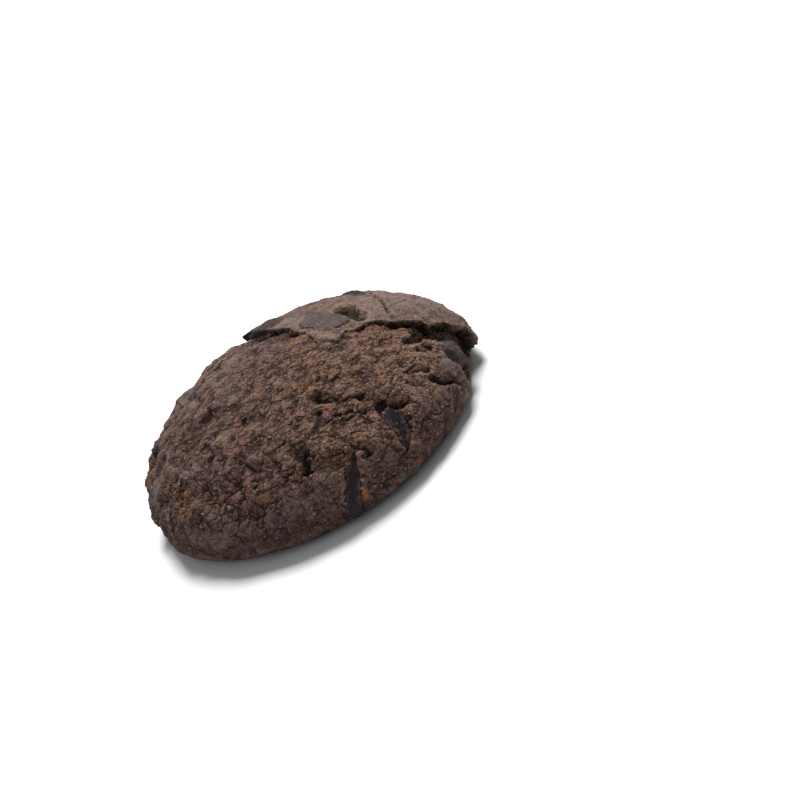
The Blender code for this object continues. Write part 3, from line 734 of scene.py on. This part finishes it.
def chunk_frame(chunk):
    """Matrix that lays a chunk along its heading in the crust, in millimetres."""
    heading = math.radians(chunk.heading)
    at = np.array([chunk.u]), np.array([chunk.v])
    base = smooth_points(*at)
    up = Vector(outward(base)[0])
    along = Vector(along_crust(*at, math.cos(heading), math.sin(heading))[0])
    across = up.cross(along).normalized()
    turned = Matrix((across.cross(up), across, up)).transposed().to_4x4()
    return Matrix.Translation(Vector(base[0] - MIDDLE) + up * chunk.rise) @ turned


def bitten(ball, start):
    """A point of the ball drawn out to a block with round edges, after its flats are bitten in."""
    ball = ball / sum(abs(side) ** BLOCKINESS for side in ball) ** (1 / BLOCKINESS)
    ball = ball * (1 + CHUNK_SWELL[1] * noise.noise(ball * CHUNK_SWELL[0] + start))
    for index in range(FACETS):
        way = noise.noise_vector(start + Vector((index * FACET_STEP, 0, 0))).normalized()
        bite = FACET_BITE[0] + (FACET_BITE[1] - FACET_BITE[0]) * (index / (FACETS - 1))
        ball -= way * max(ball.dot(way) - bite, 0) * FACET_FLATNESS
    return ball


def chunk_mesh(chunk):
    """A chunk of chocolate in metres, in its place."""
    bm = bmesh.new()
    bmesh.ops.create_icosphere(bm, subdivisions=CHUNK_DIVISIONS, radius=1)
    start = Vector((chunk.u, chunk.v, CHUNK_DEPTH))
    half = Vector((chunk.length, chunk.width, chunk.thickness)) / 2
    for vert in bm.verts:
        vert.co = bitten(vert.co.copy(), start) * half
        fine = sum(height * noise.noise(vert.co / size + start) for size, height in CHUNK_GRAIN)
        vert.co += vert.co.normalized() * fine
    bmesh.ops.transform(bm, matrix=Matrix.Scale(MM, 4) @ chunk_frame(chunk), verts=bm.verts)
    mesh = bpy.data.meshes.new(chunk.name + "_chocolate")
    bm.to_mesh(mesh)
    bm.free()
    return mesh


def add_piece(mesh, slot, *nodes):
    """Show a mesh as a piece of the cookie, in the place of the nodes it stands for."""
    mesh.shade_smooth()
    piece = bpy.data.objects.new(mesh.name, mesh)
    bpy.context.scene.collection.objects.link(piece)
    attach(piece, "root")
    if nodes:
        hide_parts(*nodes)
    return piece


chunk_meshes = [chunk_mesh(chunk) for chunk in CHUNKS]
print(len(chunk_meshes), "chunks of", len(chunk_meshes[0].polygons), "triangles")

# %% [markdown]
# ## Beds for the chunks
# Dough that would run through a chunk is pressed down under it. From each point inside the chunk
# a ray goes down to the chunk's underside, and the point is put just below, so that every chunk
# has a bed of its own and the dough closes round its edge.

# %% Pressing the beds
BED_GAP = 0.12


def press_bed(rows, chunk, mesh):
    """Put the dough's points that are inside a chunk just under it."""
    corners = places_of(mesh) / MM
    tree = BVHTree.FromPolygons(corners.tolist(), [tuple(face.vertices) for face in mesh.polygons])
    down = -chunk_frame(chunk).to_3x3().col[2].normalized()
    low, high = corners.min(axis=0), corners.max(axis=0)
    pressed = 0
    for index in np.flatnonzero(((rows > low) & (rows < high)).all(axis=1)):
        point = Vector(rows[index])
        surface, normal, _, _ = tree.find_nearest(point)
        if (point - surface).dot(normal) < 0:
            under = tree.ray_cast(point, down)[0]
            rows[index] = under + down * BED_GAP
            pressed += 1
    return pressed


rows = crust - MIDDLE
before = rows.copy()
pressed = sum(press_bed(rows, chunk, mesh) for chunk, mesh in zip(CHUNKS, chunk_meshes))
set_places(crust_mesh, rows)
print(pressed, "points pressed into beds")

# %% [markdown]
# ## What the finish needs to know
# The finish is worked out from how the crust lies: crests dry out and turn pale, and hollows
# and cracks are painted dark as painted shade. How far a point stands over its surroundings is
# measured by evening out the points' places and comparing. These measures are kept on the mesh
# as attributes, and so are the patches. For a chunk, what counts is how far each point stands out
# of the dough.

# %% Measures on the mesh
def evened(mesh, rows, rounds):
    """The points after each has moved to the average of its neighbours, several times."""
    edges = np.empty(len(mesh.edges) * 2, np.int64)
    mesh.edges.foreach_get("vertices", edges)
    ends = np.concatenate((edges[0::2], edges[1::2]))
    others = np.concatenate((edges[1::2], edges[0::2]))
    count = np.bincount(ends, minlength=len(rows))
    for _ in range(rounds):
        sums = [np.bincount(ends, weights=rows[others, axis], minlength=len(rows)) for axis in range(3)]
        rows = 0.5 * rows + 0.5 * np.stack(sums, axis=1) / count[:, None]
    return rows


def keep(mesh, name, values):
    """Store one number for each point."""
    mesh.attributes.new(name, "FLOAT", "POINT").data.foreach_set("value", values.astype(np.float32))


NEAR_ROUNDS, FAR_ROUNDS = 6, 60
DARK_CUT, DARK_HOLLOW, DARK_CREASE = 1.9, 2.2, 0.45
facing = normals_of(crust_mesh)
near = evened(crust_mesh, before, NEAR_ROUNDS)
far = evened(crust_mesh, near, FAR_ROUNDS)
crest = ((before - near) * facing).sum(axis=1)
stand = ((near - far) * facing).sum(axis=1)
# deep is the mask for painted shade: crack depth, the hollow under the slab's step and the creases
deep = np.clip(cut / DARK_CUT + hollow / DARK_HOLLOW + DARK_CREASE * stretched * creases, 0, 1)
keep(crust_mesh, "crest", crest)
keep(crust_mesh, "stand", stand)
keep(crust_mesh, "deep", deep)
keep(crust_mesh, "torn", torn)
keep(crust_mesh, "smear", smear)
keep(crust_mesh, "painted_shade", painted_shade)
keep(crust_mesh, "tone_and_rim_shade", tone_and_rim_shade)
keep(crust_mesh, "warm", coarse * (1 - over) * (1 - 0.7 * near_rim))
keep(crust_mesh, "slab", over)
keep(crust_mesh, "islands", islands)
keep(crust_mesh, "rim", near_rim)
keep(crust_mesh, "crackle", crackle * (1 - 0.75 * over))
dough_tree = BVHTree.FromPolygons(rows.tolist(), [tuple(face.vertices) for face in crust_mesh.polygons])


def over_dough(mesh):
    """How far each point of a chunk stands out of the dough, in millimetres; below zero inside."""
    heights = []
    for at in places_of(mesh) / MM:
        surface, normal, _, distance = dough_tree.find_nearest(Vector(at))
        heights.append(distance if (Vector(at) - surface).dot(normal) > 0 else -distance)
    return np.array(heights)


for mesh, chunk in zip(chunk_meshes, CHUNKS):
    keep(mesh, "bloom", np.full(len(mesh.vertices), chunk.bloom))
    keep(mesh, "coat", np.full(len(mesh.vertices), chunk.coat))
    keep(mesh, "split", np.full(len(mesh.vertices), float(chunk.name == "chunk_gap")))
    keep(mesh, "margin", over_dough(mesh))
for name, measure in (("crest", crest), ("stand", stand)):
    print(name, "from", np.percentile(measure, 5).round(3), "to", np.percentile(measure, 95).round(3), "mm")

# %% [markdown]
# ## Writing a finish
# A finish is a tree of nodes. Sums of sockets are easier to read than boxes and wires, so a small
# class wraps a node's output: writing a * b + 1 adds the Math nodes. Every other node comes from
# one method.

# %% Finish helpers
class Value:
    """A node's output that can be used in sums."""

    def __init__(self, finish, socket):
        self.finish, self.socket = finish, socket

    def _math(self, operation, one, other):
        return self.finish.node("ShaderNodeMath", {"operation": operation}, {0: one, 1: other})

    def __add__(self, other):
        return self._math("ADD", self, other)

    def __sub__(self, other):
        return self._math("SUBTRACT", self, other)

    def __rsub__(self, other):
        return self._math("SUBTRACT", other, self)

    def __mul__(self, other):
        return self._math("MULTIPLY", self, other)

    __radd__, __rmul__ = __add__, __mul__


class Finish:
    """A material and the nodes that it is made of."""

    def __init__(self, name):
        self.material = bpy.data.materials.new(name)
        self.material.use_nodes = True
        self.tree = self.material.node_tree
        self.shader = self.tree.nodes["Principled BSDF"]

    def node(self, kind, settings=None, sockets=None, out=0):
        """A node of a kind, with its settings, and the values or links of its sockets."""
        made = self.tree.nodes.new(kind)
        for name, setting in (settings or {}).items():
            setattr(made, name, setting)
        for key, value in (sockets or {}).items():
            self.put(made.inputs[key], value)
        return Value(self, made.outputs[out])

    def put(self, socket, value):
        """Link a value to a socket, or set it."""
        if isinstance(value, Value):
            self.tree.links.new(value.socket, socket)
        else:
            socket.default_value = value

    def read(self, name):
        """A measure kept on the mesh."""
        return self.node("ShaderNodeAttribute", {"attribute_name": name}, out="Fac")

    def where(self):
        """The place in the object, in metres."""
        return self.node("ShaderNodeTexCoord", out="Object")

    def apart(self):
        """The place moved aside, for cells that don't fall on the others."""
        return self.node("ShaderNodeMapping", {}, {"Vector": self.where(), "Location": (0.5, 0.3, 0.2)})

    def cloud(self, size, detail, place=None):
        """Noise with lumps of a size in millimetres, 0 to 1."""
        sockets = {"Vector": place or self.where(), "Scale": 1 / (size * MM), "Detail": detail}
        return self.node("ShaderNodeTexNoise", {}, sockets, out="Fac")

    def pebbles(self, size):
        """Distance from the middles of cells of a size in millimetres."""
        sockets = {"Vector": self.where(), "Scale": 1 / (size * MM)}
        return self.node("ShaderNodeTexVoronoi", {}, sockets, out="Distance")

    def shades(self, size, place=None):
        """A random shade for each cell of a size in millimetres, 0 to 1."""
        sockets = {"Vector": place or self.where(), "Scale": 1 / (size * MM)}
        return self.node("ShaderNodeTexVoronoi", {}, sockets, out="Color")

    def warped(self, size, sway):
        """The place moved to and fro by a sway, in waves of a size, both in millimetres."""
        sockets = {"Vector": self.where(), "Scale": 1 / (size * MM), "Detail": 2.0}
        waves = self.node("ShaderNodeTexNoise", {}, sockets, out="Color")
        sockets = {0: waves, 1: (sway * MM,) * 3, 2: self.where()}
        return self.node("ShaderNodeVectorMath", {"operation": "MULTIPLY_ADD"}, sockets)

    def seams(self, size, width, place):
        """1 on the borders between cells of a size, 0 past a width, both in millimetres."""
        sockets = {"Vector": place, "Scale": 1 / (size * MM)}
        border = self.node("ShaderNodeTexVoronoi", {"feature": "DISTANCE_TO_EDGE"}, sockets, out="Distance")
        return 1 - self.between(0.2 * width / size, width / size, border)

    def between(self, low, high, value):
        """0 at low, 1 at high, and an even turn between."""
        sockets = {"Value": value, "From Min": low, "From Max": high}
        return self.node("ShaderNodeMapRange", {"interpolation_type": "SMOOTHSTEP"}, sockets)

    def mix(self, share, one, other):
        """A share of the other colour over the first."""
        return self.node("ShaderNodeMix", {"data_type": "RGBA"}, {0: share, 6: one, 7: other}, out=2)

    def tint(self, colour, other):
        """A colour multiplied by another."""
        settings = {"data_type": "RGBA", "blend_type": "MULTIPLY"}
        return self.node("ShaderNodeMix", settings, {0: 1.0, 6: colour, 7: other}, out=2)

    def bump(self, height, depth, under=None):
        """Normals tilted by a height, for relief of a depth in millimetres."""
        sockets = {"Height": height, "Distance": depth * MM, "Strength": 1.0}
        if under is not None:
            sockets["Normal"] = under
        return self.node("ShaderNodeBump", {}, sockets)


# %% [markdown]
# ## Dough
# Dark cocoa dough. Its low parts are a deep brown, its dry crests are tan where the crust is
# coarse and rose where it is finer. On the slab it is painted paler and greyer as painted sheen,
# and on the near rim it is painted a darker mauve as painted shade. Cracks, low spots and hollows
# are painted nearly black as painted shade, torn crumb is rusty, and grains of different shades
# give it its pepper-and-salt look. Last, it drifts a little redder and yellower every few
# millimetres.

# %% The dough's finish
# Painted shade: the near-black painted into deep cracks and hollows
HOLLOW_SHADE = (0.030, 0.021, 0.020, 1)
# Painted shade: the near-black brown painted into cracks, crackle lines and low spots
CRACK_SHADE = (0.026, 0.012, 0.009, 1)
BROWN = (0.045, 0.020, 0.016, 1)
TAN = (0.210, 0.111, 0.075, 1)
ROSE = (0.168, 0.098, 0.083, 1)
GREY = (0.150, 0.110, 0.098, 1)
# Painted sheen: the slab's top, facing the light, is painted paler and greyer
SLAB_SHEEN = (0.204, 0.147, 0.124, 1)
# Painted shade: a darker, cooler mauve painted on the near rim, where the light is weaker and bluer
MAUVE_RIM_SHADE = (0.134, 0.092, 0.084, 1)
RUST = (0.165, 0.066, 0.030, 1)
OCHRE = (0.260, 0.140, 0.080, 1)
MORE_RED, LESS_RED = (1.12, 0.96, 0.95, 1), (0.90, 1.04, 1.02, 1)
MORE_YELLOW, LESS_YELLOW = (1.03, 1.02, 0.80, 1), (0.98, 0.985, 1.12, 1)


def dough_finish():
    """Dough that is pale on its crests, painted dark as painted shade in its cracks and hollows, and rusty
    where it tore.
    """
    dough = Finish("dough")
    crest, stand, deep = dough.read("crest"), dough.read("stand"), dough.read("deep")
    torn, smear, painted_shade = dough.read("torn"), dough.read("smear"), dough.read("painted_shade")
    tone_and_rim_shade, warm, slab, rim = dough.read("tone_and_rim_shade"), dough.read("warm"), dough.read("slab"), dough.read("rim")
    islands = dough.read("islands")
    drift, blotch = dough.cloud(9.0, 2.0), dough.cloud(2.6, 4.0)
    grain, speck, fleck = dough.shades(0.34), dough.shades(0.6), dough.shades(0.5, dough.apart())
    calm = 1 - 0.6 * slab - 0.4 * rim
    wandering = dough.warped(1.6, 1.3)
    drawn_out = dough.node("ShaderNodeMapping", {}, {"Vector": wandering, "Scale": (0.38, 1, 1)})
    cracks = dough.seams(2.7, 0.19, drawn_out) * dough.between(0.40, 0.52, dough.cloud(3.4, 2.0)) * calm
    where_fine = dough.between(0.50, 0.60, dough.cloud(2.2, 2.0) + 0.06 * warm) * calm
    fine_cracks = dough.seams(1.05, 0.10, wandering) * where_fine
    uneven = 0.26 * (grain - 0.5) + 0.20 * (speck - 0.5) + 0.50 * (blotch - 0.5)
    tops = crest + uneven * calm + 0.15 * stand + 0.17 * tone_and_rim_shade + 0.05 * islands + 0.01
    paler = dough.mix(dough.between(0.2, 0.8, warm + 0.9 * (drift - 0.5) - 0.6 * islands), ROSE, TAN)
    paler = dough.mix(dough.between(0.70, 0.95, fleck) * 0.6, paler, OCHRE)
    paler = dough.mix(0.7 * slab, paler, SLAB_SHEEN)
    paler = dough.mix(0.6 * rim, paler, MAUVE_RIM_SHADE)
    colour = dough.mix(dough.between(-0.15, 0.22, tops), BROWN, paler)
    colour = dough.mix(dough.between(0.1, 0.9, smear) * 0.6, colour, GREY)
    rusty = dough.between(0.25, 0.8, torn * (0.5 + blotch))
    colour = dough.mix(rusty * dough.between(0.35, 0.75, fleck), colour, RUST)
    sunk = dough.between(0.02, -0.16, crest) * (0.6 - 0.25 * rim)
    # Painted shade in cracks, hollows and the painted-shade patches
    hollow = dough.between(0.15, 0.85, deep + 0.25 * (blotch - 0.5) + painted_shade * (0.2 + blotch))
    # Painted shade: low spots, the crackle and the bump's cracks are painted near-black, where shade falls in
    # them
    colour = dough.mix(sunk, colour, CRACK_SHADE)
    colour = dough.mix(dough.between(0.3, 1.0, dough.read("crackle")) * 0.7, colour, CRACK_SHADE)
    colour = dough.mix(cracks * 0.85, colour, CRACK_SHADE)
    colour = dough.mix(fine_cracks * 0.6, colour, CRACK_SHADE)
    colour = dough.mix(hollow * (0.6 + 0.35 * painted_shade), colour, HOLLOW_SHADE)
    bright = dough.between(0.80, 0.92, fleck) * (0.25 + 0.75 * rusty) * (1 - hollow)
    colour = dough.mix(bright * 0.7, colour, OCHRE)
    red_drift = dough.between(0.30, 0.70, dough.cloud(1.9, 8.0) + 0.4 * (speck - 0.5))
    yellow_drift = dough.between(0.30, 0.70, dough.cloud(2.4, 8.0, dough.apart()) + 0.4 * (fleck - 0.5))
    colour = dough.tint(colour, dough.mix(red_drift, LESS_RED, MORE_RED))
    colour = dough.tint(colour, dough.mix(yellow_drift, LESS_YELLOW, MORE_YELLOW))
    dough.put(dough.shader.inputs["Base Color"], colour)
    dough.put(dough.shader.inputs["Roughness"], 0.78 - 0.20 * smear + 0.12 * hollow)
    ripple = dough.bump(dough.cloud(0.30, 3.0), 0.22)
    grains = dough.bump(1 - dough.pebbles(0.42), 0.20, ripple)
    dough.put(dough.shader.inputs["Normal"], dough.bump(1 - cracks - 0.6 * fine_cracks, 0.18, grains))
    dough.shader.inputs["Specular IOR Level"].default_value = 0.2
    return dough.material


crust_mesh.materials.append(dough_finish())
add_piece(crust_mesh, "dough", "cookie")
print("dough on", crust_mesh.name)

# %% [markdown]
# ## Chocolate
# The chunks are darker and smoother than the dough. Some carry a patchy grey bloom, which is
# cocoa butter that rose and set as fine crystals. The one in the gap is split upright, so it has
# streaks. A ragged coat of dough runs up from where a chunk enters the crust.

# %% The chocolate's finish
DARK = (0.014, 0.012, 0.0145, 1)
BLOOM = (0.148, 0.115, 0.102, 1)


def chocolate_finish():
    """Dark chocolate under a patchy grey bloom."""
    chocolate = Finish("chocolate")
    bloom = chocolate.read("bloom")
    patches = chocolate.between(0.25, 0.7, chocolate.cloud(1.6, 4.0))
    dust = chocolate.between(0.35, 0.65, chocolate.cloud(0.35, 2.0))
    upright = chocolate.node("ShaderNodeMapping", {}, {"Vector": chocolate.where(), "Scale": (1, 1, 0.12)})
    streaks = chocolate.between(0.40, 0.62, chocolate.cloud(0.55, 2.0, upright)) * chocolate.read("split")
    share = bloom * (0.45 + 0.55 * patches) * (0.75 + 0.25 * dust) * (1 - 0.7 * streaks)
    smudge = chocolate.between(0.54, 0.68, chocolate.cloud(2.4, 5.0)) * (0.25 + 0.5 * bloom)
    ragged = 0.8 * chocolate.read("margin") + 1.6 * (chocolate.cloud(1.9, 5.0) - 0.5)
    crumbed = chocolate.between(0.62, 0.30, ragged) * chocolate.read("coat")
    coat = chocolate.mix(chocolate.between(0.35, 0.6, chocolate.shades(0.4)), BROWN, ROSE)
    coated = 1 - (1 - smudge) * (1 - crumbed)
    colour = chocolate.mix(coated, chocolate.mix(share, DARK, BLOOM), coat)
    chocolate.put(chocolate.shader.inputs["Base Color"], colour)
    chocolate.put(chocolate.shader.inputs["Roughness"], 0.68 + 0.15 * share + 0.1 * dust)
    chocolate.shader.inputs["Specular IOR Level"].default_value = 0.14
    grainy = chocolate.bump(coated * (1 - chocolate.pebbles(0.42)), 0.30)
    uneven = chocolate.bump(chocolate.cloud(0.9, 3.0) - 1.5 * streaks, 0.12, grainy)
    chocolate.put(chocolate.shader.inputs["Normal"], chocolate.bump(chocolate.cloud(0.25, 2.0), 0.03, uneven))
    return chocolate.material


chocolate = chocolate_finish()
for mesh, chunk in zip(chunk_meshes, CHUNKS):
    mesh.materials.append(chocolate)
    add_piece(mesh, "chocolate", chunk.name)
print("chocolate on", len(chunk_meshes), "chunks")

# %% [markdown]
# ## Loose crumb
# Crumbs sit all over the crust, most where it is coarse or torn, and a few stick to the chunks'
# margins. There are also a few grains of pale sugar, most of them at the glints, whose near-white
# colour is partly their own and partly a painted glint. Each is a small broken lump, partly sunk
# in. All of a kind are one mesh, because a lump has only twenty faces.

# %% Crumbs
random.seed(11)
CREAM = (0.270, 0.180, 0.135, 1)
AMBER = (0.400, 0.165, 0.040, 1)
# Pale sugar, partly painted glint: the near-white also stands in for the glints
SUGAR, FROST = (0.780, 0.680, 0.480, 1), (0.900, 0.880, 0.800, 1)
AMBER_PATCHES = (Patch(3.3, -44.2, 2.8, 0.8, 97, 1.0), Patch(-10.2, -25.6, 0.5, 0.4, 0, 1.0))
SPARKLING = (Patch(-26.0, -16.0, 12.0, 9.0, 0, 0.5), Patch(-8.0, -28.0, 12.0, 7.0, 0, 0.3))
GLINTS = ((-17.8, 9.2), (-22.6, 0.2), (-21.4, -11.8), (-7.4, -11.2), (15.8, -43.2))
STUCK_REACH, STUCK_SHARE = 1.3, 0.5
ACROSS, ALONG, TALL, LUMPINESS = (0.7, 1.3), (0.7, 1.1), (0.6, 1.0), 0.14
CrumbKind = namedtuple("CrumbKind", "name count sizes sink dark light")


def scatter(kind, places, ways, chance):
    """Lumps of a kind, set on places picked by their chances, and sunk in against their ways."""
    picked = random.choices(range(len(chance)), weights=chance.tolist(), k=kind.count)
    bm = bmesh.new()
    for index in picked:
        size = random.triangular(*kind.sizes, kind.sizes[0]) * MM / 2
        stretch = Vector([random.uniform(*ends) for ends in (ACROSS, ALONG, TALL)]) * size
        spin = Vector([random.gauss(0, 1) for _ in range(3)]).to_track_quat("Z", "Y").to_matrix().to_4x4()
        at = Vector(places[index] * MM) - Vector(ways[index]) * size * kind.sink
        matrix = Matrix.Translation(at) @ spin @ Matrix.Diagonal((*stretch, 1))
        lump = bmesh.ops.create_icosphere(bm, subdivisions=1, radius=1, matrix=matrix)
        for vert in lump["verts"]:
            vert.co += Vector([random.gauss(0, LUMPINESS) for _ in range(3)]) * size
    mesh = bpy.data.meshes.new(kind.name)
    bm.to_mesh(mesh)
    bm.free()
    return mesh


def crumb_finish(kind):
    """Plain crumb, each grain a little different."""
    crumb = Finish(kind.name)
    shade = crumb.between(0.3, 0.7, crumb.cloud(0.9, 2.0))
    crumb.put(crumb.shader.inputs["Base Color"], crumb.mix(shade, kind.dark, kind.light))
    crumb.put(crumb.shader.inputs["Roughness"], 0.75 + 0.1 * shade)
    crumb.put(crumb.shader.inputs["Normal"], crumb.bump(crumb.cloud(0.2, 3.0), 0.06))
    crumb.shader.inputs["Specular IOR Level"].default_value = 0.2
    return crumb.material


untouched = np.abs(rows - before).sum(axis=1) < 1e-6
bare = (hollow < 0.6) & (cut < 0.5) & (painted_shade < 0.4) & untouched
open_crust = (turn < QUARTER) & bare
loose = open_crust * (0.15 + coarse + torn) * (1 - 0.9 * smear) * (1 - 0.8 * over)
stuck = []
for mesh, chunk in zip(chunk_meshes, CHUNKS):
    height = over_dough(mesh)
    stuck.append(chunk.coat * ((height > 0) & (height < STUCK_REACH)) * STUCK_SHARE)
stuck = np.concatenate(stuck)
places = np.concatenate([rows] + [places_of(mesh) / MM for mesh in chunk_meshes])
ways = np.concatenate([facing] + [normals_of(mesh) for mesh in chunk_meshes])
glints = cover(place, [Patch(at[0], at[1], 0.4, 0.4, 0, 1.0) for at in GLINTS])
brown = CrumbKind("crumbs_brown", 2800, (0.25, 0.90), 0.35, BROWN, TAN)
pale = CrumbKind("crumbs_pale", 2200, (0.25, 0.85), 0.30, ROSE, CREAM)
rusty = CrumbKind("crumbs_rusty", 900, (0.20, 0.55), 0.30, RUST, OCHRE)
amber = CrumbKind("crumbs_amber", 60, (0.30, 0.85), 0.25, RUST, AMBER)
sugar = CrumbKind("sugar", 150, (0.12, 0.26), 0.25, SUGAR, FROST)
kinds = (
    (brown, loose, stuck),
    (pale, loose * (0.05 + tone_and_rim_shade.clip(0) ** 2), 0.05 * stuck),
    (rusty, open_crust * (torn ** 2 + 0.010), 0.03 * stuck),
    (amber, open_crust * cover(place, AMBER_PATCHES) ** 2, 0 * stuck),
    (sugar, open_crust * (0.01 + cover(place, SPARKLING) + 40 * glints), 0 * stuck),
)
for kind, on_crust, on_chunks in kinds:
    crumbs = scatter(kind, places, ways, np.concatenate((on_crust, on_chunks)))
    crumbs.materials.append(crumb_finish(kind))
    add_piece(crumbs, "dough")
    print(kind.name, kind.count, "crumbs,", len(crumbs.polygons), "triangles")

# %% [markdown]
# ## Size and finish
# The pieces may stand a little out of the solid, but not much, so both boxes are measured and
# kept. Then everything is handed back to the frame.

# %% Size and finish
size = {"cad": [list(corner) for corner in cad_box], "visual": [list(corner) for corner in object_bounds()]}
print("solid", [round(1000 * x, 1) for x in cad_box[1] - cad_box[0]], "mm")
